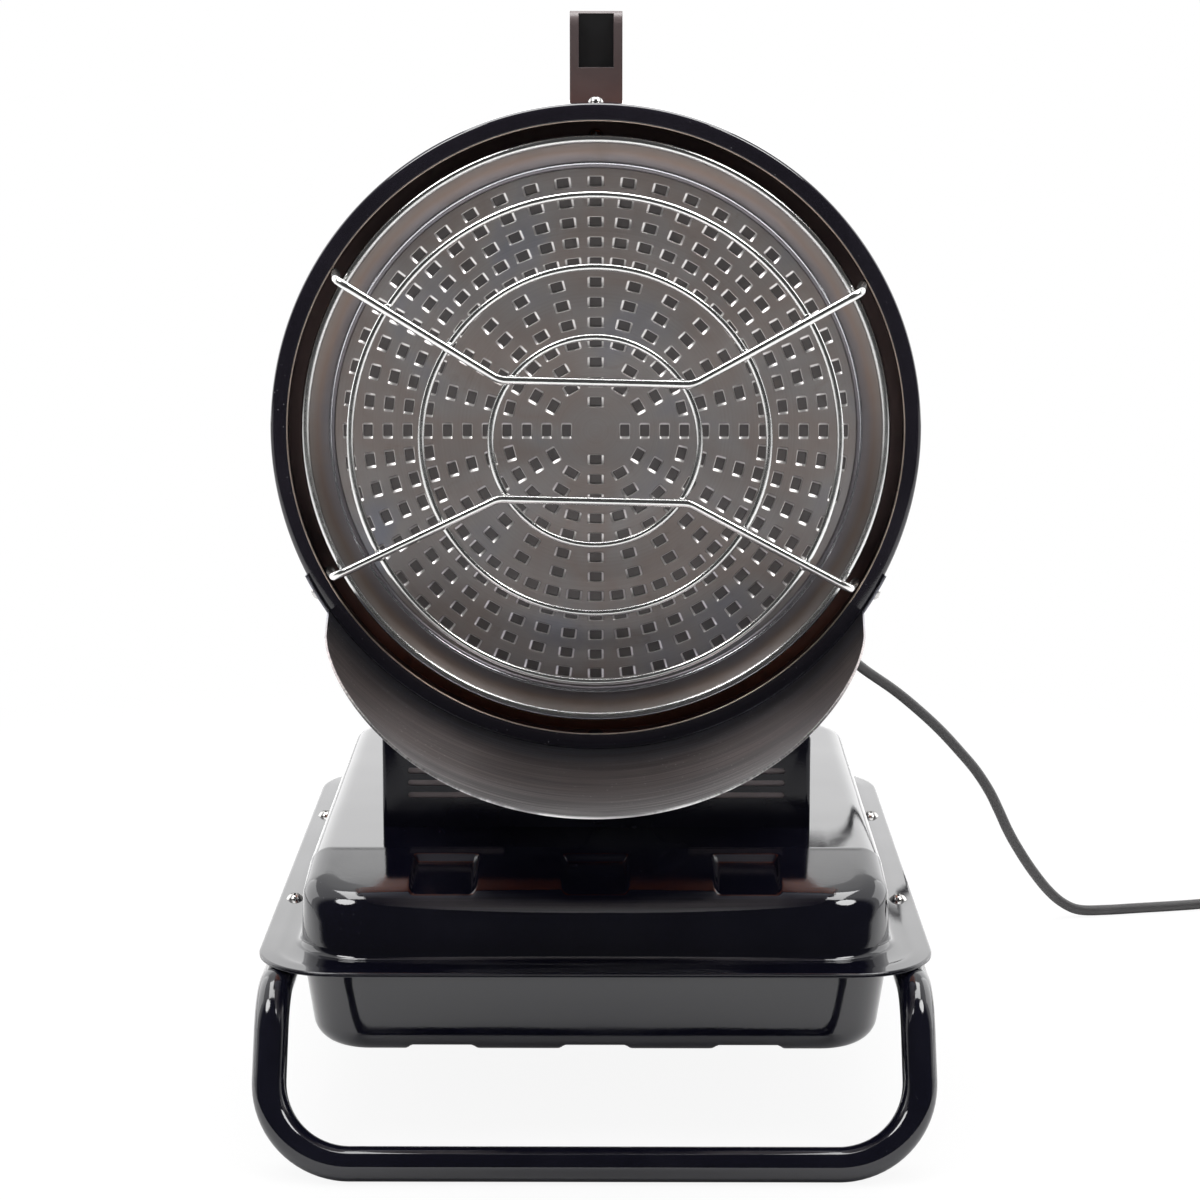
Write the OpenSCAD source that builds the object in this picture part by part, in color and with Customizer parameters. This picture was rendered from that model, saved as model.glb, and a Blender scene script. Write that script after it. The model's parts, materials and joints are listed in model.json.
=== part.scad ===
// Infrared diesel heater: a tank on two tube frames, a pedestal with the controls,
// and a drum head with a perforated radiant disc that tilts on two pivot pins.
// Millimetres. +Z is up, the front faces -Y, and the origin is on the floor
// under the middle of the heater.

/* [Tank] */
// Width of the seam flange, left to right
flange_w = 400; // [394:1:412]
// Length of the seam flange, front to back
flange_l = 500; // [480:1:520]
// Corner radius of the seam flange
flange_r = 50; // [40:1:60]
// Height of the seam between the tank halves
seam_z = 105; // [100:1:110]
// Sheet thickness of the tank halves
tank_wall = 1.2; // [1:0.1:1.6]
// Width of the seam flange beside the tank body
side_flange = 23.5; // [23:0.5:27]
// Width of the seam flange in front of and behind the tank body
end_flange = 28; // [25:1:32]
// Corner radius of the tank body in plan
tank_r = 42; // [38:1:46]
// Height of the upper half above the seam
dome_h = 48; // [45:1:52]
// Radius along the top edge of the upper half
dome_edge_r = 14; // [12:1:18]
// Radius along the top edge of the upper half's front
front_edge_r = 20; // [16:1:22]
// Lean of the upper half's side walls, in degrees
dome_draft = 1.5; // [1:0.5:6]
// Lean of the upper half's front wall, in degrees
front_draft = 12; // [10:0.5:14]
// Length of the sloped front of the top
slope_l = 80; // [70:1:90]
// Fall of the sloped front of the top
slope_drop = 13; // [10:1:14]
// Depth of the lower half below the seam
pan_depth = 58; // [50:1:60]
// Radius along the bottom edge of the lower half
pan_edge_r = 14; // [12:1:20]
// Lean of the lower half's walls, in degrees
pan_draft = 8; // [6:0.5:12]
// Spacing of the stamped pockets and grooves
stamp_pitch = 91; // [84:1:96]
// Width of a stamped pocket
pocket_w = 40; // [34:1:44]
// Length of a stamped pocket
pocket_l = 60; // [54:1:64]
// Depth of a pocket at its back edge
pocket_step = 3.5; // [3:0.5:5]
// Fall of a pocket's floor towards the front
pocket_fall = 7.5; // [6:0.5:10]
// Width of a groove in the underside
groove_w = 36; // [30:1:40]
// Depth of a groove in the underside
groove_h = 5; // [4:0.5:6]

/* [Frames] */
// Outer diameter of the frame tube
tube_d = 20; // [18:1:21]
// Wall of the frame tube
tube_wall = 1.5; // [1.2:0.1:2]
// Distance of a frame's legs inside the flange's edge
frame_inset = 3; // [1:0.5:5]
// Reach of the front frame from the middle
front_reach = 311; // [305:1:316]
// Reach of the rear frame from the middle
rear_reach = 322; // [318:1:326]
// Lean of the legs from upright, in degrees
leg_lean = 31; // [28:1:34]
// Bend radius of the centre line at the floor
foot_bend_r = 48; // [42:1:52]
// Bend radius of the centre line under the flange
knee_bend_r = 38; // [32:1:42]
// Gap between the ends of the two frames
frame_end_gap = 60; // [40:1:80]
// Depth of the flat where the foot bars stand
foot_flat = 0.4; // [0.3:0.1:0.5]
// Distance of the front flange screws from the middle
front_screw_y = 93; // [88:1:98]
// Distance of the rear flange screws from the middle
rear_screw_y = 116; // [110:1:120]
// Distance of the flange screws outside the tube's centre line
screw_outset = 3; // [2:0.5:4]
// Thread diameter of the flange screws
flange_screw_d = 6; // [5:0.5:6]
// Head diameter of the flange screws
flange_screw_head = 11; // [10:0.5:12]

/* [Filler and gauge] */
// Distance of the filler and the gauge from the middle line
port_x = 70; // [64:1:76]
// Distance of the filler and the gauge behind the middle
port_y = 170; // [169:0.5:171]
// Bore of the filler neck
neck_bore = 34; // [30:1:35]
// Wall of the filler neck
neck_wall = 2; // [1.5:0.5:2.5]
// Height of the filler neck above the tank
neck_h = 18; // [15:1:22]
// Diameter of the fuel cap
cap_d = 50; // [48:1:52]
// Thickness of the fuel cap's top
cap_top = 5; // [4:0.5:6]
// Bore of the gauge's guide tube
gauge_bore = 20; // [18:1:22]
// Travel of the float
float_travel = 18; // [14:1:20]
// Length of the float
float_l = 78; // [70:1:80]

/* [Pedestal] */
// Width of the pedestal
ped_w = 268; // [264:1:272]
// Distance of the pedestal's front from the middle
ped_front = 93; // [90:1:96]
// Distance of the pedestal's back from the middle
ped_back = 140; // [138:1:142]
// Height of the deck above the tank
deck_h = 59; // [57:1:60]
// Distance of the rear box's front wall from the middle
box_front = 96; // [94:1:98]
// Height of the rear box above the tank
box_h = 97; // [94:1:98]
// Sheet thickness of the pedestal
ped_wall = 1.2; // [1:0.1:1.5]
// Height of a louvre slot
louvre_h = 3.8; // [3:0.2:4.2]
// Spacing of the louvre slots
louvre_pitch = 7.8; // [7:0.2:8.4]
// Height of the lowest louvre above the tank
louvre_z = 20.5; // [18:0.5:23]
// Distance of a louvre's inner end from the middle
louvre_in = 58; // [54:1:64]
// Distance of a louvre's outer end from the middle
louvre_out = 118; // [112:1:120]

/* [Tilt pivot] */
// Distance of the pivot axis behind the middle
pivot_y = 70; // [69:0.5:71]
// Height of the pivot axis above the deck
pivot_h = 43; // [41:1:45]
// Diameter of the pivot pins
pin_d = 10; // [8:1:12]
// Distance of the cheeks' inner faces from the middle
cheek_x = 80; // [77:1:82]
// Thickness of a cheek
cheek_t = 4; // [3:0.5:5]
// Thickness of a lug
lug_t = 4; // [3:0.5:5]
// Radius of the cheeks and lugs round the pin
boss_r = 18; // [16:1:19]
// Diameter of a tilt knob
knob_d = 34; // [30:1:36]
// Length of a tilt knob
knob_l = 18; // [15:1:19]

/* [Drum head] */
// Clearance between the front ring and the deck
drum_gap = 6; // [4:0.5:8]
// Distance of the front ring's face from the middle
ring_y = 160; // [156:1:164]
// Outer radius of the front ring
ring_r = 192.5; // [190:0.5:194]
// Width of the front ring's face
ring_face = 10; // [8:0.5:12]
// Depth of the front ring's band
ring_depth = 40; // [34:1:44]
// Edge radius of the front ring
ring_edge = 3; // [2.4:0.2:4]
// Sheet thickness of the drum and ring
drum_wall = 1.2; // [1:0.1:1.5]
// Depth of the drum
drum_depth = 180; // [174:1:182]
// Depth of the screws in the shield's ears
ear_screw_depth = 15; // [12:1:18]
// Depth of the screw on top of the ring
top_screw_depth = 24; // [20:1:28]
// Diameter of the drum's screws
small_screw_d = 4; // [3:0.5:5]
// Head diameter of the drum's screws
rim_head_d = 9; // [8:0.5:10]
// Head height of the drum's screws
rim_head_h = 3.4; // [2.8:0.1:3.6]
// Shank length of the drum's screws
rim_screw_l = 8; // [7:1:10]
// Radius of the rear housing
housing_r = 118; // [116:1:120]
// Length of the rear housing
housing_l = 195; // [190:1:198]

/* [Radiant face] */
// Gap between the front ring and the reflector's rolled bead
bead_gap = 8.2; // [7.5:0.1:10]
// Diameter of the rolled bead
bead_d = 5; // [4:0.5:6]
// Depth of the bead behind the ring's face
bead_depth = 3; // [3:0.5:4]
// Width of the reflector's flare, with its bead
flare_w = 19.3; // [18:0.1:21]
// Depth of the radiant disc behind the ring's face
disc_depth = 10; // [9:0.5:12]
// Thickness of the radiant disc
disc_t = 1.2; // [1:0.1:1.6]
// Radius of the first circle of holes
hole_start = 17.3; // [16:0.1:18]
// Distance of the last circle of holes inside the reflector
hole_margin = 7.9; // [7:0.1:9]
// Radial size of a hole
hole_radial = 6; // [5:0.5:7]
// Size of a hole round the circle
hole_tangential = 7; // [6:0.5:7.5]
// Depth of the reflector's wall behind the ring's face
reflector_depth = 36; // [34:1:40]

/* [Guard] */
// Distance of the guard's rings in front of the ring's face
guard_out = 40; // [36:1:44]
// Radius of the inner guard ring
guard_r1 = 60.5; // [58:0.5:63]
// Radius of the middle guard ring
guard_r2 = 100.7; // [98:0.5:104]
// Radius of the outer guard ring
guard_r3 = 141.7; // [138:0.5:146]
// Diameter of the ring wire
ring_wire = 4; // [3.5:0.1:4.4]
// Diameter of the rod wire
rod_wire = 5; // [4.4:0.2:5.6]
// Roll of the guard as it is welded, in degrees
guard_roll = 1.3; // [0:0.1:2]

/* [Lower shield] */
// Clearance between the front ring and the shield
shield_gap = 0.6; // [0.4:0.1:1]
// Sheet thickness of the shield
shield_t = 1.4; // [1:0.1:1.6]
// Reach of the shield in front of the ring's face
shield_reach = 162; // [156:1:162]
// Angle from the bottom to the shield's corners, in degrees
wing_angle = 55.4; // [53:0.2:56]
// Angle from the bottom to the ends of the ears, in degrees
ear_angle = 63.7; // [62:0.2:65]
// Fullness of the shield's front edge
wing_power = 2.75; // [2.4:0.05:3]
// Angle from the bottom to the ear screws, in degrees
ear_screw_angle = 59.5; // [58.6:0.1:60]

/* [Handle] */
// Width of the handle
handle_w = 31.5; // [28:0.5:34]
// Height of the handle above the drum
handle_rise = 54.3; // [51:0.1:57]
// Distance of the handle's front from the middle
handle_front = 100; // [96:1:104]
// Length of the handle
handle_l = 108; // [104:1:112]
// Thickness of the handle's legs
handle_leg = 17; // [15:1:18]
// Thickness of the handle's grip
handle_grip = 18; // [16:1:20]
// Diameter of the handle's screws
handle_screw_d = 5; // [4:0.5:6]
// Shank length of the handle's screws
handle_screw_l = 14; // [12:1:15]

/* [Burner and fan] */
// Outer radius of the flame tube
flame_r = 44; // [42:1:46]
// Radius of the motor
motor_r = 46; // [44:1:47]
// Length of the motor
motor_l = 68; // [64:1:70]
// Distance of the motor behind the drum
motor_set = 60; // [58:1:61]
// Diameter of the drive shaft
shaft_d = 8; // [7:1:9]
// Radius of the fan
fan_r = 106; // [100:1:110]
// Number of fan blades
fan_blades = 7; // [5:1:9]
// Radius of the pump
pump_r = 32; // [30:1:33]

/* [Cord] */
// Diameter of the power cord
cord_d = 7.5; // [7:0.1:7.6]
// Radius of the outer loop of the coil
coil_r = 45; // [44:1:48]
// Number of loops in the coil
coil_loops = 4; // [4:2:4]
// Clearance between neighbouring loops
coil_gap = 0.9; // [0.8:0.1:1.2]

/* [Fits] */
// Gap between moving faces
move_gap = 0.3; // [0.3:0.1:0.5]
// Gap between seated curved faces
seat_gap = 0.1; // [0.05:0.05:0.2]
// Radial clearance of a running pin or shaft
run_gap = 0.05; // [0.03:0.01:0.08]
// Radial clearance of a screw in its hole
screw_gap = 0.3; // [0.2:0.1:0.5]

/* [Hidden] */
$fn = 96;

tank_w = flange_w - 2 * side_flange;
tank_l = flange_l - 2 * end_flange;
frame_w = flange_w - 2 * frame_inset;
dome_top = seam_z + dome_h;
deck_z = dome_top + deck_h;
pivot_z = deck_z + pivot_h;
head_z = deck_z + drum_gap + ring_r;
box_z = dome_top + box_h;
tube_x = (frame_w - tube_d) / 2;
run_z = seam_z - tank_wall - tube_d / 2 - seat_gap;
screw_x = tube_x + screw_outset;
casing_r = ring_r - drum_wall - seat_gap;
shield_r = ring_r + shield_gap;
handle_top = casing_r + handle_rise;
bead_r = ring_r - ring_face - bead_gap;
reflector_r = bead_r - flare_w;
reflector_flange_r = casing_r - drum_wall - seat_gap;
face_screw_r = (reflector_r + reflector_flange_r) / 2;
hole_counts = [4, 12, 12, 24, 24, 24, 24, 48, 48, 48, 48, 48];
hole_step = (reflector_r - hole_margin - hole_start) / (len(hole_counts) - 1);
motor_depth = drum_depth + motor_set;
pump_depth = motor_depth - 24;
pump_l = 22;
fan_depth = motor_depth + motor_l + 14;
fan_l = 24;
hub_r = 20;
axis_rod_r = 5;
lug_x = cheek_x + cheek_t + move_gap;
knob_x = lug_x + lug_t + move_gap;

// The cord's route from the gland to the coil
gland_y = 128;
gland_z = 225;
gland_l = 24;
cord_points = [
  [153, 128, 225], [158, 128, 225], [171, 132, 219], [186, 144, 205], [209, 157, 187],
  [228, 166, 170], [244, 174, 154], [258, 181, 138], [271, 188, 122],
  [282, 194, 105], [290, 200, 89], [298, 206, 72], [307, 212, 56],
  [318, 218, 39], [331, 225, 22], [343, 229, 11], [356, 232, 5],
  [376, 236, 3.8], [400, 241, 3.8], [424, 246, 3.8], [448, 252, 3.8],
  [476, 263, 3.8], [494, 267, 3.8], [503, 267, 3.8], [512, 267, 3.8]
];
coil_x = 520;
coil_y = 222;
coil_z = 3.8;
coil_lead = 40;
coil_rings = 24;
plug_x = coil_x + coil_lead + 12;
plug_l = 50;
plug_w = 50;
plug_t = 24;

// A straight is this much thinner than its bends and reaches this far into them
joint_step = 0.01;
joint_lap = 0.2;

// Helpers

function unit(v) = v / norm(v);
function along(a, b) = unit(b - a);
function angle_between(u, v) = acos(max(-1, min(1, u * v)));
function setback(p, i, r) =
  r * tan(angle_between(along(p[i - 1], p[i]), along(p[i], p[i + 1])) / 2);

// Places children with their axes along x, y and z from the point o
module placed(o, x, y, z) {
  multmatrix([
    [x[0], y[0], z[0], o[0]],
    [x[1], y[1], z[1], o[1]],
    [x[2], y[2], z[2], o[2]],
    [0, 0, 0, 1]
  ]) children();
}

// Straight round rod from a to b
module rod(a, b, d) {
  z = along(a, b);
  side = abs(z[0]) < 0.9 ? [1, 0, 0] : [0, 1, 0];
  x = unit(cross(side, z));
  placed(a, x, cross(z, x), z) cylinder(h = norm(b - a), d = d);
}

// One straight and the bend after it, and so on to the last point. The rod
// starts at the local origin and heads along z, with x pointing as given
module rod_from(points, r, d, i, x) {
  z = along(points[i - 1], points[i]);
  last = len(points) - 1;
  start = i == 1 ? 0 : setback(points, i - 1, r[i - 2]);
  end = i == last ? 0 : setback(points, i, r[i - 1]);
  run = norm(points[i] - points[i - 1]) - start - end;
  lap0 = i == 1 ? 0 : joint_lap;
  lap1 = i == last ? 0 : joint_lap;
  translate([0, 0, -lap0]) cylinder(h = run + lap0 + lap1, d = d - 2 * joint_step);
  if (i < last) {
    v = along(points[i], points[i + 1]);
    turn = angle_between(z, v);
    inward = unit(v - z * cos(turn));
    bend_r = r[i - 1];
    translate([0, 0, run]) rotate([0, 0, atan2(inward * cross(z, x), inward * x)]) {
      translate([bend_r, 0, 0]) rotate([90, 0, 180])
        rotate_extrude(angle = turn) translate([bend_r, 0]) circle(d = d);
      translate([bend_r, 0, 0]) rotate([0, turn, 0]) translate([-bend_r, 0, 0])
        rod_from(points, r, d, i + 1, inward * cos(turn) - z * sin(turn));
    }
  }
}

// Round rod through the points, with the bend radius r at each inner point
module bent_rod(points, r, d) {
  z = along(points[0], points[1]);
  side = abs(z[0]) < 0.9 ? [1, 0, 0] : [0, 1, 0];
  x = unit(cross(side, z));
  placed(points[0], x, cross(z, x), z) rod_from(points, r, d, 1, x);
}

// The same points with both ends moved out by e
function lengthened(p, e) = [
  for (i = [0:len(p) - 1])
    i == 0 ? p[0] - along(p[0], p[1]) * e :
    i == len(p) - 1 ? p[i] + along(p[i - 1], p[i]) * e : p[i]
];

module bent_tube(points, r, d, wall) {
  difference() {
    bent_rod(points, r, d);
    bent_rod(lengthened(points, 1), r, d - 2 * wall);
  }
}

// Section through a pressed edge: r is the plan radius, e the edge radius
module edge_section(r, h, draft, e) {
  cz = h - e;
  cx = r - (e + cz * sin(draft)) / cos(draft);
  if (e > 0) {
    polygon([
      [0, 0], [r, 0],
      [cx + e * cos(draft), cz + e * sin(draft)],
      [cx, cz], [cx, h], [0, h]
    ]);
    intersection() {
      translate([cx, cz]) circle(r = e);
      translate([cx, cz]) square(e + 1);
    }
  } else {
    polygon([[0, 0], [r, 0], [r - h * tan(draft), h], [0, h]]);
  }
}

// Pressed pan standing on z = 0 with rounded corners and a rounded top edge
module pan(w, l, r, h, draft, e) {
  rotate([90, 0, 90]) linear_extrude(height = w - 2 * r, center = true) {
    for (s = [0, 1]) mirror([s, 0]) translate([l / 2 - r, 0]) edge_section(r, h, draft, e);
    translate([r - l / 2, 0]) square([l - 2 * r, h]);
  }
  for (s = [0, 1]) mirror([s, 0, 0]) translate([w / 2 - r, 0, 0]) {
    rotate([90, 0, 0]) linear_extrude(height = l - 2 * r, center = true)
      edge_section(r, h, draft, e);
    for (t = [0, 1]) mirror([0, t, 0]) translate([0, l / 2 - r, 0])
      rotate_extrude(angle = 90) edge_section(r, h, draft, e);
  }
}

// Rounded rectangle standing on the X axis of its own plane
module round_rect(w, h, r) {
  hull() for (x = [r - w / 2, w / 2 - r], y = [r, h - r]) translate([x, y]) circle(r = r, $fn = 32);
}

module slot_2d(x0, x1, h) {
  hull() for (x = [x0 + h / 2, x1 - h / 2]) translate([x, 0]) circle(d = h, $fn = 24);
}

// Domed screw with a cross recess: head above z = 0, shank below
module pan_screw(head_d, head_h, shank_d, shank_l) {
  dome_r = (head_d * head_d / 4 + head_h * head_h) / (2 * head_h);
  recess_w = head_d / 9;
  difference() {
    rotate_extrude() intersection() {
      translate([0, head_h - dome_r]) circle(r = dome_r);
      square([head_d, head_h]);
    }
    for (a = [0, 90]) rotate(a)
      translate([-head_d * 0.28, -recess_w / 2, head_h * 0.45])
        cube([head_d * 0.56, recess_w, head_h]);
  }
  translate([0, 0, -shank_l]) cylinder(h = shank_l, d = shank_d, $fn = 32);
}

// Head frame: local z runs backwards from the front ring's face along the drum's axis
module on_axis(depth) {
  translate([0, depth - ring_y, head_z]) rotate([-90, 0, 0]) children();
}

// Local z points outwards from the drum's axis, at an angle counted from the bottom
module on_drum(angle, r, depth) {
  on_axis(depth) rotate(90 - angle) translate([r, 0, 0]) rotate([0, 90, 0]) children();
}

// Clearance holes of the screws in the drum's rim
module rim_screw_holes() {
  for (s = [[-ear_screw_angle, ear_screw_depth], [ear_screw_angle, ear_screw_depth],
            [180, top_screw_depth]])
    on_drum(s[0], casing_r - 5, s[1])
      cylinder(h = 14, d = small_screw_d + 2 * screw_gap, $fn = 32);
}

// Tank

module front_section(inset) {
  h = dome_h - inset;
  e = front_edge_r - inset;
  fall = atan(slope_drop / slope_l);
  low = h - slope_drop - e / cos(fall);
  u = (e + sin(front_draft) * low) / (cos(front_draft) - sin(front_draft) * tan(fall));
  v = low + u * tan(fall);
  translate([1 + inset, 0]) {
    polygon(concat(
      [[0, -1], [0, 0]],
      [for (a = [180 - front_draft:-(90 - front_draft - fall) / 10:90 + fall - 0.1])
        [u + e * cos(a), v + e * sin(a)]],
      [[slope_l, h], [slope_l, h + 10], [tank_l + 10, h + 10], [tank_l + 10, -1]]
    ));
  }
}

module pocket(grow) {
  back = slope_l - 10;
  floor_z = dome_h - pocket_step - slope_drop * 10 / slope_l - grow;
  rotate([90, 0, 90]) linear_extrude(height = pocket_w + 2 * grow, center = true)
    polygon([
      [back + grow, dome_h + 5], [back + grow, floor_z],
      [back - pocket_l - 12, floor_z - pocket_fall * (pocket_l + 12) / pocket_l],
      [back - pocket_l - 12, dome_h + 5]
    ]);
}

module dome_solid(inset) {
  translate([0, 0, seam_z]) difference() {
    intersection() {
      pan(tank_w - 2 * inset, tank_l - 2 * inset, tank_r - inset, dome_h - inset,
          dome_draft, dome_edge_r - inset);
      translate([0, -tank_l / 2, 0]) rotate([90, 0, 90])
        linear_extrude(height = tank_w + 10, center = true) front_section(inset);
    }
    for (i = [-1:1]) translate([i * stamp_pitch, -tank_l / 2, 0]) pocket(inset);
  }
}

module pan_solid(inset) {
  translate([0, 0, seam_z]) mirror([0, 0, 1]) difference() {
    pan(tank_w - 2 * inset, tank_l - 2 * inset, tank_r - inset, pan_depth - inset,
        pan_draft, pan_edge_r - inset);
    for (i = [-1:1])
      translate([i * stamp_pitch - groove_w / 2 - inset, -tank_l, pan_depth - groove_h - inset])
        cube([groove_w + 2 * inset, 2 * tank_l, groove_h + 2]);
  }
}

module at_flange_screws() {
  for (s = [-1, 1], y = [-front_screw_y, rear_screw_y]) translate([s * screw_x, y, 0]) children();
}

module flange_screw_holes(z0, h) {
  at_flange_screws() translate([0, 0, z0])
    cylinder(h = h, d = flange_screw_d + 2 * screw_gap, $fn = 32);
}

module at_filler() { translate([-port_x, port_y, dome_top]) children(); }
module at_gauge() { translate([port_x, port_y, dome_top]) children(); }
module at_pickup() { translate([30, pivot_y, dome_top]) children(); }

pickup_tube_d = 8;

module tank_upper_shell() {
  color("#17171c") difference() {
    union() {
      dome_solid(0);
      translate([0, 0, seam_z]) pan(flange_w, flange_l, flange_r, tank_wall, 0, 0);
    }
    dome_solid(tank_wall);
    flange_screw_holes(seam_z - 1, tank_wall + 2);
    at_filler() translate([0, 0, -10])
      cylinder(h = 20, d = neck_bore + 2 * neck_wall + 2 * seat_gap);
    at_gauge() translate([0, 0, -10]) cylinder(h = 20, d = gauge_bore + 4 + 2 * seat_gap);
    at_pickup() translate([0, 0, -10]) cylinder(h = 20, d = pickup_tube_d + 2 * seat_gap);
  }
}

drain_boss_r = 14;

module tank_lower_shell() {
  color("#17171c") difference() {
    union() {
      pan_solid(0);
      translate([0, 0, seam_z - tank_wall]) pan(flange_w, flange_l, flange_r, tank_wall, 0, 0);
    }
    pan_solid(tank_wall);
    flange_screw_holes(seam_z - tank_wall - 1, tank_wall + 2);
    translate([stamp_pitch / 2, 0, seam_z - pan_depth - 1]) cylinder(h = 5, r = drain_boss_r - 3);
  }
}

// Threaded plug with its boss ring, screwed up into the lower half
module drain_plug() {
  z = seam_z - pan_depth;
  color("#b89a55") translate([stamp_pitch / 2, 0, z]) {
    translate([0, 0, -2]) cylinder(h = 2, r = drain_boss_r);
    translate([0, 0, -6]) cylinder(h = 4, r = 8, $fn = 6);
    cylinder(h = 8, r = drain_boss_r - 3 - seat_gap);
  }
}

// Frames

module frame_tube(reach, screw_y) {
  foot_z = tube_d / 2 - foot_flat;
  foot_y = reach - tube_d / 2;
  knee_y = foot_y - (run_z - foot_z) * tan(leg_lean);
  path = [
    [-tube_x, frame_end_gap / 2, run_z], [-tube_x, knee_y, run_z],
    [-tube_x, foot_y, foot_z], [tube_x, foot_y, foot_z],
    [tube_x, knee_y, run_z], [tube_x, frame_end_gap / 2, run_z]
  ];
  bends = [knee_bend_r, foot_bend_r, foot_bend_r, knee_bend_r];
  difference() {
    bent_tube(path, bends, tube_d, tube_wall);
    translate([-frame_w, foot_y - tube_d, -tube_d]) cube([2 * frame_w, 2 * tube_d, tube_d]);
    for (s = [-1, 1]) translate([s * screw_x, screw_y, run_z - tube_d])
      cylinder(h = 2 * tube_d, d = flange_screw_d + 2 * screw_gap, $fn = 32);
  }
}

module front_frame_tube() {
  color("#121216") mirror([0, 1, 0]) frame_tube(front_reach, front_screw_y);
}

module rear_frame_tube() {
  color("#121216") frame_tube(rear_reach, rear_screw_y);
}

nut_z = run_z - tube_d / 2;

module flange_screws() {
  shank = seam_z + tank_wall - nut_z + 6;
  color("#c8c8c8") at_flange_screws() translate([0, 0, seam_z + tank_wall])
    pan_screw(flange_screw_head, 3.6, flange_screw_d, shank);
}

module flange_nuts() {
  color("#c8c8c8") at_flange_screws() translate([0, 0, nut_z - 5]) difference() {
    cylinder(h = 5, d = 11, $fn = 6);
    translate([0, 0, -1]) cylinder(h = 7, d = flange_screw_d + 2 * seat_gap, $fn = 32);
  }
}

// Filler and gauge

seal_t = 2;

module filler_neck() {
  r = neck_bore / 2;
  color("#8c8f94") at_filler() difference() {
    union() {
      translate([0, 0, -12]) cylinder(h = neck_h + 12, r = r + neck_wall);
      cylinder(h = 1.2, r = r + neck_wall + 3);
    }
    translate([0, 0, -13]) cylinder(h = neck_h + 14, r = r);
  }
}

module cap_seal() {
  r = neck_bore / 2;
  color("#202020") at_filler() translate([0, 0, neck_h]) difference() {
    cylinder(h = seal_t, r = r + neck_wall);
    translate([0, 0, -1]) cylinder(h = seal_t + 2, r = r);
  }
}

module fuel_cap() {
  skirt = neck_h - 3;
  color("#a01c1c") at_filler() translate([0, 0, neck_h + seal_t + move_gap]) difference() {
    union() {
      translate([0, 0, -skirt]) cylinder(h = skirt + cap_top, d = cap_d);
      translate([-cap_d / 2 + 3, -4, cap_top]) cube([cap_d - 6, 8, 8]);
    }
    translate([0, 0, -skirt - 1])
      cylinder(h = skirt + 1, r = neck_bore / 2 + neck_wall + move_gap);
    for (a = [0:30:330]) rotate(a) translate([cap_d / 2 + 0.8, 0, -skirt - 1])
      cylinder(h = skirt + 2, r = 2, $fn = 24);
  }
}

guide_depth = float_l + 6;

module gauge_guide() {
  r = gauge_bore / 2;
  color("#8c8f94") at_gauge() difference() {
    union() {
      translate([0, 0, -guide_depth]) cylinder(h = guide_depth + 6, r = r + 2);
      cylinder(h = 6, r = r + 7);
    }
    translate([0, 0, 2 - guide_depth]) cylinder(h = guide_depth + 5, r = r);
    translate([0, 0, -guide_depth - 1]) cylinder(h = 4, r = r - 4);
    for (z = [-guide_depth + 12, -40]) translate([0, 0, z]) rotate([90, 0, 0])
      cylinder(h = 60, r = 3, center = true, $fn = 32);
  }
}

module gauge_window() {
  r = gauge_bore / 2;
  top = float_travel - 3;
  color("#dfe8ee") at_gauge() translate([0, 0, 6]) difference() {
    union() {
      cylinder(h = 2, r = r + 6);
      cylinder(h = top + 5, r = r + 2);
    }
    translate([0, 0, -1]) cylinder(h = top + 4, r = r);
  }
}

module gauge_float() {
  color("#d03020") at_gauge() translate([0, 0, 2 - guide_depth + move_gap])
    cylinder(h = float_l, r = gauge_bore / 2 - move_gap);
}

// Fuel feed inside the pedestal

pickup_depth = dome_h + pan_depth - 12;

module fuel_pickup() {
  color("#b08d57") at_pickup() difference() {
    union() {
      translate([0, 0, -pickup_depth + 20]) cylinder(h = pickup_depth - 12, d = pickup_tube_d);
      translate([0, 0, -pickup_depth]) cylinder(h = 22, r = 11);
      cylinder(h = 2, r = 12);
      cylinder(h = 9, r = 7, $fn = 6);
    }
    translate([0, 0, -pickup_depth + 10]) cylinder(h = pickup_depth + 10, r = 2);
  }
}

module union_nut(from_x, to_x) {
  translate([from_x, pivot_y, pivot_z]) rotate([0, 90, 0])
    cylinder(h = to_x - from_x, r = 7, $fn = 6);
}

line_d = 6;
line_r = 12;

module fuel_line_lower() {
  color("#303030") {
    bent_rod([
      [30, pivot_y, dome_top + 9], [30, pivot_y, pivot_z], [move_gap / 2, pivot_y, pivot_z]
    ], [line_r], line_d);
    union_nut(move_gap / 2, 10);
  }
}

module fuel_line_upper() {
  end_z = head_z - 6;
  end_x = -sqrt(pump_r * pump_r - line_d * line_d / 4) - seat_gap;
  color("#303030") {
    bent_rod([
      [-move_gap / 2, pivot_y, pivot_z], [-50, pivot_y, pivot_z],
      [-50, pivot_y, end_z], [end_x, pivot_y, end_z]
    ], [line_r, line_r], line_d);
    union_nut(-10, -move_gap / 2);
  }
}

// Pedestal

module pedestal_profile(inset) {
  polygon([
    [-ped_front + inset, dome_top - (inset > 0 ? 1 : 0)], [-ped_front + inset, deck_z - inset],
    [box_front + inset, deck_z - inset], [box_front + inset, box_z - inset],
    [ped_back - inset, box_z - inset], [ped_back - inset, dome_top - (inset > 0 ? 1 : 0)]
  ]);
}

window_x = 88;
window_z0 = dome_top + 14;
window_z1 = box_z - 14;

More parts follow.
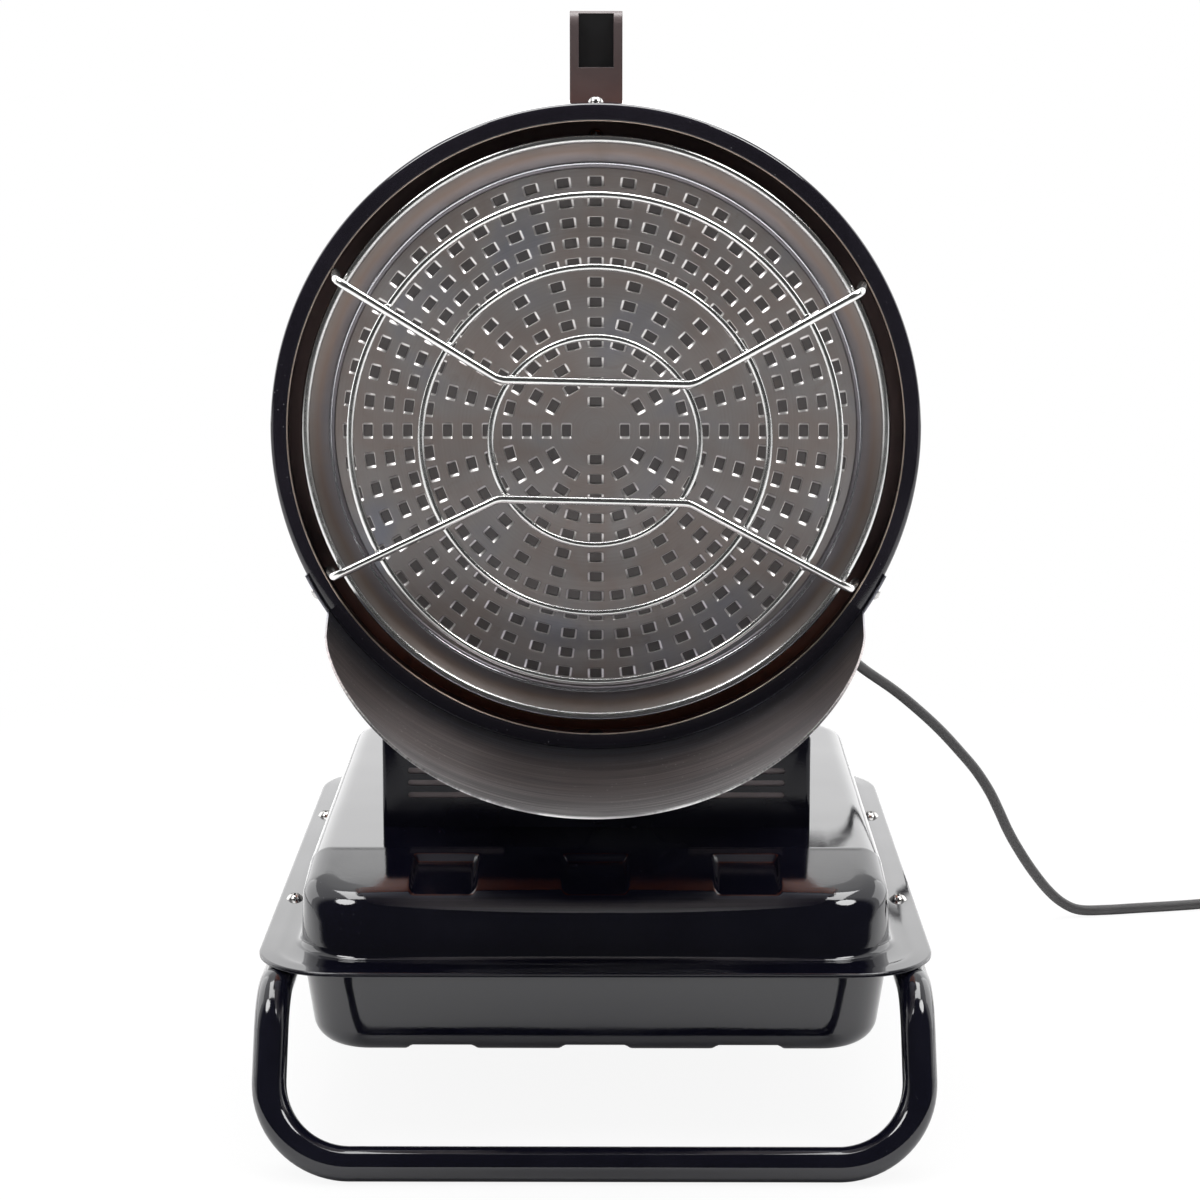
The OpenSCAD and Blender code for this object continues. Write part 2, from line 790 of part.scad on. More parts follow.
module pedestal_housing() {
  color("#141418") difference() {
    rotate([90, 0, 90]) linear_extrude(height = ped_w, center = true) pedestal_profile(0);
    rotate([90, 0, 90]) linear_extrude(height = ped_w - 2 * ped_wall, center = true)
      pedestal_profile(ped_wall);
    for (s = [0, 1], i = [0:2]) mirror([s, 0, 0])
      translate([0, 5 - ped_front, dome_top + louvre_z + i * louvre_pitch]) rotate([90, 0, 0])
        linear_extrude(height = 10) slot_2d(louvre_in, louvre_out, louvre_h);
    translate([30, pivot_y, deck_z - 10]) cylinder(h = 20, r = line_d / 2 + 2, $fn = 32);
    translate([-window_x, ped_back - 5, window_z0])
      cube([2 * window_x, 10, window_z1 - window_z0]);
    translate([ped_w / 2 - 5, gland_y, gland_z]) rotate([0, 90, 0])
      cylinder(h = 10, r = 8 + seat_gap);
  }
}

module lug_bracket() {
  difference() {
    union() {
      translate([lug_x, pivot_y, 0]) rotate([90, 0, 90]) linear_extrude(height = lug_t) union() {
        translate([0, pivot_z]) circle(r = boss_r);
        translate([-boss_r, deck_z]) square([2 * boss_r, pivot_z - deck_z]);
      }
      translate([lug_x, pivot_y - 22, deck_z]) cube([28, 44, 3]);
    }
    translate([0, pivot_y, pivot_z]) rotate([0, 90, 0])
      cylinder(h = 200, r = pin_d / 2 + run_gap);
  }
}

module pivot_brackets() {
  color("#141418") for (s = [0, 1]) mirror([s, 0, 0]) lug_bracket();
}

module pivot_pins() {
  color("#9a9ca0") for (s = [0, 1]) mirror([s, 0, 0])
    translate([cheek_x - move_gap, pivot_y, pivot_z]) rotate([0, 90, 0]) {
      translate([0, 0, -5]) cylinder(h = 5, r = pin_d / 2 + 4, $fn = 6);
      cylinder(h = knob_x + knob_l - 6 - cheek_x + move_gap, r = pin_d / 2);
    }
}

module tilt_knob() {
  translate([knob_x, pivot_y, pivot_z]) rotate([0, 90, 0]) difference() {
    union() {
      cylinder(h = 5, r = pin_d / 2 + 5);
      translate([0, 0, 5]) cylinder(h = knob_l - 5, d = knob_d);
    }
    translate([0, 0, -1]) cylinder(h = knob_l - 4, r = pin_d / 2 + run_gap);
    for (a = [0:45:315]) rotate(a) translate([knob_d / 2 + 2, 0, 4])
      cylinder(h = knob_l, r = 4.5, $fn = 32);
  }
}

module tilt_knob_right() { color("#1a1a1a") tilt_knob(); }
module tilt_knob_left() { color("#1a1a1a") mirror([1, 0, 0]) tilt_knob(); }

pad_y = 60;

module rest_pad() {
  h = head_z - casing_r - move_gap - deck_z;
  color("#222222") translate([-30, -pad_y - 18, deck_z]) cube([60, 36, h]);
}

// Controls on the back

panel_t = 2;
panel_y = ped_back;
panel_mid = (window_z0 + window_z1) / 2;
switch_x = -66;
knob_hole_x = 0;
lamp_x = 38;
button_x = 66;
switch_r = 9;
switch_w = 14;
rocker_lean = 10;

module panel_hole(x, z, d) {
  translate([x, panel_y - 5, z]) rotate([-90, 0, 0]) cylinder(h = 20, d = d);
}

module control_panel() {
  color("#2a2a2e") difference() {
    union() {
      translate([-window_x - 8, panel_y, window_z0 - 8])
        cube([2 * window_x + 16, panel_t, window_z1 - window_z0 + 16]);
      translate([switch_x - switch_w / 2 - 4, panel_y, panel_mid - switch_r - 4])
        cube([switch_w + 8, panel_t + 2, 2 * switch_r + 8]);
    }
    translate([switch_x - switch_w / 2 - move_gap, panel_y - 5, panel_mid - switch_r - move_gap])
      cube([switch_w + 2 * move_gap, 20, 2 * (switch_r + move_gap)]);
    panel_hole(knob_hole_x, panel_mid, 6 + 2 * run_gap + 0.4);
    panel_hole(lamp_x, panel_mid, 10 + 2 * seat_gap);
    panel_hole(button_x, panel_mid, 10 + 2 * move_gap);
  }
}

// Rocker at rest with its lower half pressed in
module power_switch() {
  color("#111111") translate([switch_x, panel_y - 2, panel_mid]) rotate([-rocker_lean, 0, 0])
    difference() {
      rotate([0, 90, 0]) cylinder(h = switch_w, r = switch_r, center = true);
      for (s = [0, 1]) mirror([0, 0, s]) rotate([rocker_lean, 0, 0])
        translate([-switch_w, 6.5, 0]) cube([2 * switch_w, 10, 20]);
    }
}

module thermostat_knob() {
  color("#111111") translate([knob_hole_x, panel_y + panel_t + move_gap, panel_mid])
    rotate([-90, 0, 0]) {
      difference() {
        cylinder(h = 14, r = 15);
        for (a = [0:30:330]) rotate(a) translate([15.8, 0, 3]) cylinder(h = 20, r = 1.8, $fn = 24);
        translate([-0.8, -14, 13]) cube([1.6, 12, 2]);
      }
      translate([0, 0, -panel_t - move_gap - 6]) cylinder(h = 8 + panel_t, r = 3);
    }
}

module thermostat_body() {
  color("#d8d4c8") difference() {
    translate([knob_hole_x - 16, panel_y - 26, panel_mid - 14]) cube([32, 26 - seat_gap, 28]);
    translate([knob_hole_x, panel_y - 7, panel_mid]) rotate([-90, 0, 0])
      cylinder(h = 10, r = 3 + move_gap);
  }
}

button_travel = 2.5;

module reset_button() {
  color("#b02020") translate([button_x, panel_y - 4, panel_mid]) rotate([-90, 0, 0])
    cylinder(h = 4 + panel_t + button_travel + 1, r = 5);
}

module power_lamp() {
  color("#e0862c") translate([lamp_x, panel_y - 6, panel_mid]) rotate([-90, 0, 0]) {
    cylinder(h = 6 + panel_t, r = 5);
    translate([0, 0, 6 + panel_t]) cylinder(h = 2.5, r = 6);
  }
}

board_y = panel_y - 36;

module control_board() {
  board_w = 160;
  board_h = 60;
  board_t = 1.6;
  margin = 6;
  low = window_z0 + 2;
  color("#2e6b3a") {
    translate([-board_w / 2, board_y, low]) cube([board_w, board_t, board_h]);
    for (x = [-1, 1], z = [low + margin, low + board_h - margin])
      translate([x * (board_w / 2 - margin), board_y, z]) rotate([-90, 0, 0])
        cylinder(h = panel_y - board_y, r = 3, $fn = 32);
  }
  color("#3a3a3a") translate([0, board_y + board_t, low + margin]) {
    translate([-board_w * 3 / 8, 0, 0]) cube([30, 20, 24]);
    translate([board_w * 3 / 20, 0, 0]) cube([36, 12, 18]);
  }
}

module cord_gland() {
  bore_l = 6;
  color("#181818") translate([ped_w / 2, gland_y, gland_z]) rotate([0, 90, 0]) difference() {
    union() {
      cylinder(h = 4, r = 12, $fn = 6);
      translate([0, 0, -8]) cylinder(h = 8, r = 8);
      translate([0, 0, -8]) cylinder(h = 8 - ped_wall, r = 11, $fn = 6);
      translate([0, 0, 4]) cylinder(h = gland_l - 4, r1 = 8, r2 = 6);
    }
    translate([0, 0, gland_l - bore_l]) cylinder(h = bore_l + 1, d = cord_d + 1.2);
  }
}

// Cord

function curve_point(p, i, t) =
  let (
    a = p[max(i - 1, 0)], b = p[i], c = p[i + 1], d = p[min(i + 2, len(p) - 1)],
    m = (c - a) / 2, n = (d - b) / 2
  )
  b * (2 * t * t * t - 3 * t * t + 1) + m * (t * t * t - 2 * t * t + t)
  + c * (3 * t * t - 2 * t * t * t) + n * (t * t * t - t * t);

// The route as a smooth line with s steps between two points
function smooth_route(p, s) = [
  for (i = [0:len(p) - 2], k = [0:s - 1]) curve_point(p, i, k / s), p[len(p) - 1]
];

function route_dir(p, i) =
  i == 0 ? along(p[0], p[1]) :
  i == len(p) - 1 ? along(p[i - 1], p[i]) : unit(p[i + 1] - p[i - 1]);

// One closed tube along the points, with the given number of sides
module swept_tube(p, d, sides) {
  n = len(p);
  rings = [
    for (i = [0:n - 1], k = [0:sides - 1])
      let (
        t = route_dir(p, i), side = unit(cross(t, [0, 0, 1])), up = cross(side, t),
        a = 360 * (k + 0.5) / sides
      )
      p[i] + d / 2 * (side * cos(a) + up * sin(a))
  ];
  walls = [
    for (i = [0:n - 2], k = [0:sides - 1])
      let (a = i * sides + k, b = i * sides + (k + 1) % sides)
      each [[a, a + sides, b + sides], [a, b + sides, b]]
  ];
  caps = [
    for (k = [1:sides - 2])
      each [[0, k, k + 1], [(n - 1) * sides, (n - 1) * sides + k + 1, (n - 1) * sides + k]]
  ];
  polyhedron(points = rings, faces = concat(walls, caps));
}

module power_cord() {
  color("#3c3c3e") swept_tube(smooth_route(cord_points, 2), cord_d, 8);
}

// The coil spirals in on the floor, climbs in the half turn where it
// reverses, and spirals out again on top
coil_pitch = cord_d + coil_gap;
function climb(u) = let (t = max(0, min(1, (u - coil_loops / 2 + 0.25) * 2))) t * t * (3 - 2 * t);
function coil_point(u) =
  let (r = coil_r - coil_pitch * min(u, coil_loops - u))
  [coil_x + r * sin(360 * u), coil_y + r * cos(360 * u), coil_z + coil_pitch * climb(u)];
coil_turns = [for (i = [0:coil_rings * coil_loops]) coil_point(i / coil_rings)];
coil_end = coil_point(coil_loops);
coil_path = concat(
  [coil_point(0) - [cord_d + 0.5, 0, 0]], coil_turns,
  [coil_end + [cord_d, 0, 0], coil_end + [coil_lead, 0, 0]]
);
coil_reach = coil_rings / 2;
coil_clear = min([
  for (i = [0:len(coil_turns) - 1], j = [i + coil_reach:1:len(coil_turns) - 1])
    norm(coil_turns[i] - coil_turns[j])
]) - cord_d;
echo(least_gap_in_coil = coil_clear);

module cord_coil() {
  color("#3c3c3e") swept_tube(coil_path, cord_d, 6);
}

module plug() {
  x0 = coil_end[0] + coil_lead;
  color("#3c3c3e") {
    translate([x0, coil_end[1], coil_end[2]]) rotate([0, 90, 0])
      cylinder(h = plug_x - x0 + 1, r1 = 4.6, r2 = 6.5);
    translate([plug_x, coil_end[1], 0]) rotate([0, 0, 90]) mirror([0, 1, 0])
      linear_extrude(height = plug_t) round_rect(plug_w, plug_l, 9);
  }
}

module plug_pins() {
  color("#c9a95a") translate([plug_x, coil_end[1], plug_t]) {
    for (s = [-1, 1]) translate([plug_l * 0.3 - 2, s * 11.1 - 3.15, 0]) cube([4, 6.3, 17.7]);
    translate([plug_l * 0.3 + 18.2, -2, 0]) cube([8, 4, 22.7]);
  }
}

// Drum head

module drum_casing() {
  color("#a85a2c") difference() {
    on_axis(0) rotate_extrude() {
      translate([casing_r - drum_wall, ring_edge])
        square([drum_wall, drum_depth - ring_edge]);
      translate([flame_r + seat_gap, drum_depth - drum_wall])
        square([casing_r - flame_r - seat_gap, drum_wall]);
    }
    rim_screw_holes();
    at_handle_screws() cylinder(h = 16, d = handle_screw_d + 2 * seat_gap, $fn = 32);
  }
}

module front_ring_section() {
  inner = ring_r - ring_face;
  translate([inner, 0]) square([ring_face - ring_edge, drum_wall]);
  translate([inner, 0]) square([drum_wall, 14]);
  translate([ring_r - drum_wall, ring_edge]) square([drum_wall, ring_depth - ring_edge]);
  intersection() {
    translate([ring_r - ring_edge, 0]) square(ring_edge);
    translate([ring_r - ring_edge, ring_edge]) difference() {
      circle(r = ring_edge);
      circle(r = ring_edge - drum_wall);
    }
  }
}

module front_ring() {
  color("#17171c") difference() {
    on_axis(0) rotate_extrude() front_ring_section();
    rim_screw_holes();
  }
}

module ring_screw() {
  color("#c8c8c8") on_drum(180, ring_r + seat_gap, top_screw_depth)
    pan_screw(rim_head_d, rim_head_h, small_screw_d, rim_screw_l);
}

module shield_outline() {
  steps = 14;
  edge = [
    for (i = [-steps:steps])
      let (
        t = 90 * abs(i) / steps,
        b = wing_angle * pow(sin(t), 2 / wing_power) * sign(i),
        reach = shield_reach * pow(cos(t), 2 / wing_power)
      )
      [(shield_r + shield_t / 2) * sin(b), -ring_y - reach]
  ];
  x = shield_r + 10;
  polygon(concat(edge, [[x, 2 - ring_y], [x, 30 - ring_y], [-x, 30 - ring_y], [-x, 2 - ring_y]]));
}

module lower_shield() {
  color("#5a5a60") difference() {
    intersection() {
      on_axis(-shield_reach - 5) rotate(90 - ear_angle) rotate_extrude(angle = 2 * ear_angle)
        translate([shield_r, 0]) square([shield_t, shield_reach + 40]);
      translate([0, 0, head_z - 2 * ring_r]) linear_extrude(height = 2 * ring_r) shield_outline();
    }
    rim_screw_holes();
  }
}

module shield_screws() {
  color("#c8c8c8") for (a = [-ear_screw_angle, ear_screw_angle])
    on_drum(a, shield_r + shield_t + seat_gap, ear_screw_depth)
      pan_screw(rim_head_d, rim_head_h, small_screw_d, rim_screw_l);
}

module reflector() {
  bead_c = bead_r - bead_d / 2;
  wall = 1;
  lip = reflector_r + wall;
  color("#6f6a66") difference() {
    on_axis(0) rotate_extrude() {
      translate([bead_c, bead_depth]) circle(d = bead_d, $fn = 32);
      polygon([
        [bead_c, bead_depth - 0.5], [bead_c, bead_depth + 0.5],
        [lip, disc_depth - 1], [lip, reflector_depth],
        [reflector_r, reflector_depth], [reflector_r, disc_depth - 1.6]
      ]);
      translate([reflector_r, reflector_depth])
        square([reflector_flange_r - reflector_r, wall]);
    }
    for (a = [0, 180]) on_axis(reflector_depth - 2) rotate(90 - a) translate([face_screw_r, 0, 0])
      cylinder(h = 5, d = small_screw_d + 2 * screw_gap, $fn = 32);
  }
}

module reflector_screws() {
  color("#c8c8c8") for (a = [0, 180])
    on_axis(reflector_depth) rotate(90 - a) translate([face_screw_r, 0, 0]) mirror([0, 0, 1])
      pan_screw(rim_head_d, rim_head_h, small_screw_d, rim_screw_l);
}

module radiant_disc() {
  r = reflector_r - seat_gap;
  color("#77706a") on_axis(disc_depth) {
    linear_extrude(height = disc_t) difference() {
      circle(r = r);
      for (k = [0:len(hole_counts) - 1], i = [0:hole_counts[k] - 1])
        rotate(360 * i / hole_counts[k]) translate([hole_start + hole_step * k, 0])
          square([hole_radial, hole_tangential], center = true);
    }
    difference() {
      cylinder(h = 12, r = r);
      translate([0, 0, -1]) cylinder(h = 14, r = r - disc_t);
    }
  }
}

module combustion_chamber() {
  d0 = reflector_depth + 1;
  d1 = drum_depth - drum_wall;
  t = 1.2;
  throat = 80;
  cone_end = 112;
  color("#8a7f74") difference() {
    on_axis(0) rotate_extrude() polygon([
      [reflector_flange_r - 2, d0], [reflector_flange_r - 2, d0 + t], [reflector_r - 4, d0 + t],
      [throat + t, cone_end], [throat + t, d1], [throat, d1], [throat, cone_end - 0.5],
      [reflector_r - 5, d0]
    ]);
    for (a = [0, 180]) on_axis(d0 - 1) rotate(90 - a) translate([face_screw_r, 0, 0])
      cylinder(h = 5, d = small_screw_d + 2 * screw_gap, $fn = 32);
  }
}

// Flame tube with its diffuser disc
diffuser_depth = drum_depth - 48;
nozzle_r = 8;
electrode_x = 18;

module flame_tube() {
  color("#7d7d80") on_axis(0) difference() {
    union() {
      translate([0, 0, diffuser_depth - 4]) difference() {
        cylinder(h = drum_depth - diffuser_depth + 4, r = flame_r);
        translate([0, 0, -1]) cylinder(h = 100, r = flame_r - 1.5);
      }
      translate([0, 0, drum_depth]) difference() {
        cylinder(h = 1.5, r = flame_r + 12);
        translate([0, 0, -1]) cylinder(h = 4, r = flame_r - 1.5);
      }
      translate([0, 0, diffuser_depth]) cylinder(h = 1.5, r = flame_r);
    }
    translate([0, 0, diffuser_depth - 1]) cylinder(h = 4, r = nozzle_r + seat_gap);
    for (s = [-1, 1]) translate([s * electrode_x, 0, diffuser_depth - 1])
      cylinder(h = 4, r = 4 + seat_gap);
    for (a = [45:90:315], k = [-18, 0, 18]) rotate(a + k) translate([28, 0, diffuser_depth - 1])
      cylinder(h = 4, r = 3, $fn = 32);
  }
}

module fuel_nozzle() {
  color("#b8903c") on_axis(0) difference() {
    union() {
      translate([0, 0, diffuser_depth - 8]) cylinder(h = 22, r = nozzle_r);
      translate([0, 0, diffuser_depth - 12]) cylinder(h = 4, r1 = 3, r2 = nozzle_r);
      translate([0, 0, diffuser_depth + 14])
        cylinder(h = pump_depth - diffuser_depth - 14, r = axis_rod_r);
    }
    translate([0, 0, diffuser_depth - 6]) cylinder(h = pump_depth, r = 1.5, $fn = 32);
    translate([0, 0, diffuser_depth - 13]) cylinder(h = 10, r = 0.6, $fn = 32);
  }
}

module igniter() {
  color("#e8e4da") for (s = [-1, 1]) on_axis(0) translate([s * electrode_x, 0, 0]) {
    translate([0, 0, diffuser_depth - 6]) cylinder(h = 36, r = 4);
    translate([0, 0, diffuser_depth - 22]) cylinder(h = 16, r = 1.25, $fn = 32);
    translate([0, 0, diffuser_depth + 30]) cylinder(h = 8, r = 1.25, $fn = 32);
  }
}

// Guard

module rolled_guard() {
  on_axis(-guard_out) rotate(guard_roll) children();
}

module guard_rings() {
  color("#c4c4c4") rolled_guard() for (r = [guard_r1, guard_r2, guard_r3])
    rotate_extrude() translate([r, 0]) circle(d = ring_wire, $fn = 32);
}

rod_mid_x = 55.5;
rod_anchor_r = ring_r - ring_face - rod_wire / 2 - seat_gap;
rod_end_x = rod_anchor_r * 5 / 6;

// Rod across the rings: height at the middle and at the bends, and the anchor's angle
module guard_rod(mid, bend, angle) {
  front = -(ring_wire + rod_wire) / 2 - seat_gap;
  anchor = [rod_anchor_r * cos(angle), rod_anchor_r * sin(angle)];
  bent_rod([
    [-anchor[0], anchor[1], guard_out + 8], [-rod_end_x, bend, front], [-rod_mid_x, mid, front],
    [rod_mid_x, mid, front], [rod_end_x, bend, front], [anchor[0], anchor[1], guard_out + 8]
  ], [8, 14, 14, 8], rod_wire);
}

module guard_rods() {
  color("#cccccc") rolled_guard() {
    guard_rod(-35, -90, -30.4);
    guard_rod(34, 82, 28.9);
  }
}

// Handle

module handle_outline() {
  low = casing_r - 12;
  difference() {
    translate([handle_l / 2, low]) round_rect(handle_l, handle_top - low, 9);
    translate([handle_l / 2, casing_r + 6])
      round_rect(handle_l - 2 * handle_leg, handle_top - handle_grip - casing_r - 6, 6);
  }
}

module handle() {
  recess_w = handle_w * 2 / 3;
  recess_h = 32;
  recess_t = 6;
  recess_top = head_z + handle_top - 1.3;
  color("#1c1c1e") difference() {
    translate([0, -handle_front, head_z]) rotate([90, 0, 90])
      linear_extrude(height = handle_w, center = true) handle_outline();
    on_axis(0) cylinder(h = drum_depth, r = casing_r + seat_gap);
    translate([-recess_w / 2, -handle_front - 5, recess_top - recess_h])
      cube([recess_w, recess_t + 5, recess_h]);
    at_handle_screws() cylinder(h = 16, d = handle_screw_d + 2 * seat_gap, $fn = 32);
  }
}

module at_handle_screws() {
  for (y = [handle_leg / 2, handle_l - handle_leg / 2])
    translate([0, y - handle_front, head_z + casing_r - drum_wall - seat_gap]) children();
}

module handle_screws() {
  color("#c8c8c8") at_handle_screws() mirror([0, 0, 1])
    pan_screw(rim_head_d, rim_head_h, handle_screw_d, handle_screw_l);
}

// Rear housing and what it holds

module rear_housing() {
  color("#17171c") difference() {
    union() {
      on_axis(drum_depth) cylinder(h = housing_l, r = housing_r);
      on_axis(drum_depth) cylinder(h = 1.5, r = housing_r + 12);
    }
    on_axis(drum_depth - 1) cylinder(h = housing_l + 2, r = housing_r - drum_wall);
    translate([-50, pivot_y, head_z - housing_r - 5])
      cylinder(h = 40, r = line_d / 2 + 2, $fn = 32);
  }
}

module fan_guard() {
  r = housing_r;
  color("#8a8a8e") on_axis(drum_depth + housing_l) linear_extrude(height = 2) {
    for (k = [0:3]) difference() {
      circle(r = r - k * 26);
      circle(r = r - 5 - k * 26);
    }
    circle(r = 18);
    for (a = [0:45:135]) rotate(a) square([2 * r - 4, 4], center = true);
  }
}

module pivot_cheeks() {
  color("#17171c") for (s = [0, 1]) mirror([s, 0, 0]) difference() {
    translate([cheek_x, pivot_y, 0]) rotate([90, 0, 90]) linear_extrude(height = cheek_t) union() {
      translate([0, pivot_z]) circle(r = boss_r);
      translate([-boss_r, pivot_z]) square([2 * boss_r, head_z - pivot_z]);
    }
    on_axis(0) cylinder(h = 400, r = housing_r + seat_gap);
    translate([0, pivot_y, pivot_z]) rotate([0, 90, 0])
      cylinder(h = 200, r = pin_d / 2 + run_gap);
  }
}

module motor() {
  color("#555a60") on_axis(motor_depth) difference() {
    union() {
      cylinder(h = motor_l, r = motor_r);
      translate([0, 0, motor_l]) cylinder(h = 6, r = 16);
    }
    translate([0, 0, -1]) cylinder(h = motor_l + 10, r = shaft_d / 2 + run_gap);
    for (a = [0:15:345]) rotate(a) translate([motor_r + 0.5, 0, 6])
      cylinder(h = motor_l - 12, r = 1.5, $fn = 16);
  }
}

module motor_mount() {
  outer = housing_r - drum_wall - seat_gap;
  color("#8a8a8e") on_axis(motor_depth + motor_l / 2) linear_extrude(height = 4) difference() {
    circle(r = outer);
    circle(r = motor_r + seat_gap);
    for (i = [0:2]) rotate(120 * i) difference() {
      intersection() {
        difference() {
          circle(r = outer - 6);
          circle(r = motor_r + 7);
        }
        polygon([[0, 0], [300, 20], [300, 200], [0, 400], [-200, 300 * sin(60) + 100]]);
      }
      rotate(120) translate([0, -9]) square([300, 18]);
    }
  }
}

module pump_body() {
  color("#9a9ca0") on_axis(pump_depth) difference() {
    union() {
      cylinder(h = pump_l, r = pump_r);
      translate([0, 0, pump_l]) cylinder(h = motor_depth - pump_depth - pump_l, r = 20);
    }
    translate([0, 0, 6]) cylinder(h = 30, r = shaft_d / 2 + run_gap);
  }
}

module drive_shaft() {
  d0 = pump_depth + 8;
  color("#b0b2b6") on_axis(d0) cylinder(h = fan_depth + fan_l + 6 - d0, r = shaft_d / 2);
}

module fan_impeller() {
  color("#c0c4c8") on_axis(fan_depth) difference() {
    union() {
      cylinder(h = fan_l, r = hub_r);
      intersection() {
        cylinder(h = fan_l, r = fan_r);
        for (i = [0:fan_blades - 1]) rotate(360 * i / fan_blades)
          translate([hub_r - 4, 0, fan_l / 2]) rotate([35, 0, 0])
            translate([0, -24, -0.8]) cube([fan_r, 48, 1.6]);
      }
    }
    translate([0, 0, -1]) cylinder(h = fan_l + 2, r = shaft_d / 2 + seat_gap / 2);
  }
}

lead_d = 5;

module ignition_transformer() {
  depth = drum_depth + 6;
  top = 68;
  color("#33363a") {
    intersection() {
      translate([-30, depth - ring_y, head_z - housing_r]) cube([60, 26, housing_r - top]);
      on_axis(depth) cylinder(h = 26, r = housing_r - drum_wall - seat_gap);
    }
    for (s = [-1, 1]) bent_rod([
      [s * electrode_x, depth + 12 - ring_y, head_z - top - 1],
      [s * electrode_x, depth + 12 - ring_y, head_z],
      [s * electrode_x, diffuser_depth + 38 + seat_gap - ring_y, head_z]
    ], [9], lead_d);
  }
}

tank_upper_shell();
tank_lower_shell();
front_frame_tube();
rear_frame_tube();
flange_screws();
flange_nuts();
filler_neck();
cap_seal();
fuel_cap();
gauge_guide();
gauge_window();
gauge_float();
drain_plug();
fuel_pickup();
fuel_line_lower();
pedestal_housing();
pivot_brackets();
pivot_pins();
tilt_knob_left();
tilt_knob_right();
rest_pad();
control_panel();
power_switch();
thermostat_knob();
thermostat_body();
reset_button();
power_lamp();
control_board();
cord_gland();
power_cord();
cord_coil();
plug();
plug_pins();
drum_casing();
front_ring();
ring_screw();
lower_shield();
shield_screws();
reflector();
reflector_screws();
radiant_disc();
combustion_chamber();
flame_tube();
fuel_nozzle();
igniter();
guard_rings();
guard_rods();
handle();
handle_screws();
rear_housing();
fan_guard();
pivot_cheeks();
motor();
motor_mount();
pump_body();
ignition_transformer();
fuel_line_upper();
drive_shaft();
fan_impeller();
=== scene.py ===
import json
import math
import bmesh
import bpy
from mathutils import Matrix, Vector


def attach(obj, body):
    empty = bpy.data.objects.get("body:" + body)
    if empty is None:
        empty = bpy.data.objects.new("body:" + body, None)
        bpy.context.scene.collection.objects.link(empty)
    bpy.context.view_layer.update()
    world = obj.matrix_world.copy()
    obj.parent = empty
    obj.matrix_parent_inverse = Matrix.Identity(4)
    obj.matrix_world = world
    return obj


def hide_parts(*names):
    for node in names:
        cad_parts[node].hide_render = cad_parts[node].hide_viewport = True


# Infrared diesel heater: pressed tank on tube feet, tilting drum head, perforated disc behind a wire guard.
# Metres, +Z up, the head faces -Y.

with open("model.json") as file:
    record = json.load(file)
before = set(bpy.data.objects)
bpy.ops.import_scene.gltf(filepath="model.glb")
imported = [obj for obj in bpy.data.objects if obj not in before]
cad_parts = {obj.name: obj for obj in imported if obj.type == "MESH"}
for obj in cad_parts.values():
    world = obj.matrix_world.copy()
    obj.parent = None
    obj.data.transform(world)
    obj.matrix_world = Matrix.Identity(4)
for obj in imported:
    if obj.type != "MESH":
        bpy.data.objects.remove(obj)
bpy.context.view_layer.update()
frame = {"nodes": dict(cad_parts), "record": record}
nodes = frame["nodes"]
scene = bpy.context.scene
scene.view_settings.view_transform = "Standard"
slots = {entry["node"]: entry["material_slot"] for entry in frame["record"]["subparts"]}
owners = {name: body for body, members in frame["record"]["behaviour"]["bodies"].items() for name in members}
print("frame loaded:", len(nodes), "nodes")

# The drum's axis runs along Y at this height, and depths are counted back from the ring's face
axisHeight = 0.4105
faceY = -0.160


def makeCamera():
    view = {"lens": 91.5, "place": (0.012, -1.950, 0.640), "pitch": 79.56, "yaw": 0.3}
    data = bpy.data.cameras.new("heaterCamera")
    data.lens = view["lens"]
    data.sensor_width = 36
    camera = bpy.data.objects.new("heaterCamera", data)
    camera.location = view["place"]
    camera.rotation_euler = (math.radians(view["pitch"]), 0, math.radians(view["yaw"]))
    scene.collection.objects.link(camera)
    scene.camera = camera


makeCamera()
print("camera set")


# The same points as the source's route, in metres
cordKit = {
    "width": 0.0075, "gap": 0.0009, "steps": 6,
    "route": [
        (0.153, 0.128, 0.225), (0.158, 0.128, 0.225), (0.171, 0.132, 0.219), (0.186, 0.144, 0.205),
        (0.209, 0.157, 0.187), (0.228, 0.166, 0.170), (0.244, 0.174, 0.154), (0.258, 0.181, 0.138),
        (0.271, 0.188, 0.122),
        (0.282, 0.194, 0.105), (0.290, 0.200, 0.089), (0.298, 0.206, 0.072), (0.307, 0.212, 0.056),
        (0.318, 0.218, 0.039), (0.331, 0.225, 0.022), (0.343, 0.229, 0.011), (0.356, 0.232, 0.005),
        (0.376, 0.236, 0.0038), (0.400, 0.241, 0.0038), (0.424, 0.246, 0.0038), (0.448, 0.252, 0.0038),
        (0.476, 0.263, 0.0038), (0.494, 0.267, 0.0038), (0.503, 0.267, 0.0038), (0.512, 0.267, 0.0038)],
    "coilPlace": (0.520, 0.222, 0.0038), "coilRadius": 0.045, "loops": 4, "perLoop": 72, "lead": 0.040,
}


def smoothRoute(points, steps):
    # a cubic through the points, as the source draws it
    line = []
    for i in range(len(points) - 1):
        a, b = Vector(points[max(i - 1, 0)]), Vector(points[i])
        c, d = Vector(points[i + 1]), Vector(points[min(i + 2, len(points) - 1)])
        for k in range(steps):
            t = k / steps
            line.append(b * (2 * t**3 - 3 * t**2 + 1) + (c - a) / 2 * (t**3 - 2 * t**2 + t)
                        + c * (3 * t**2 - 2 * t**3) + (d - b) / 2 * (t**3 - t**2))
    return line + [Vector(points[-1])]


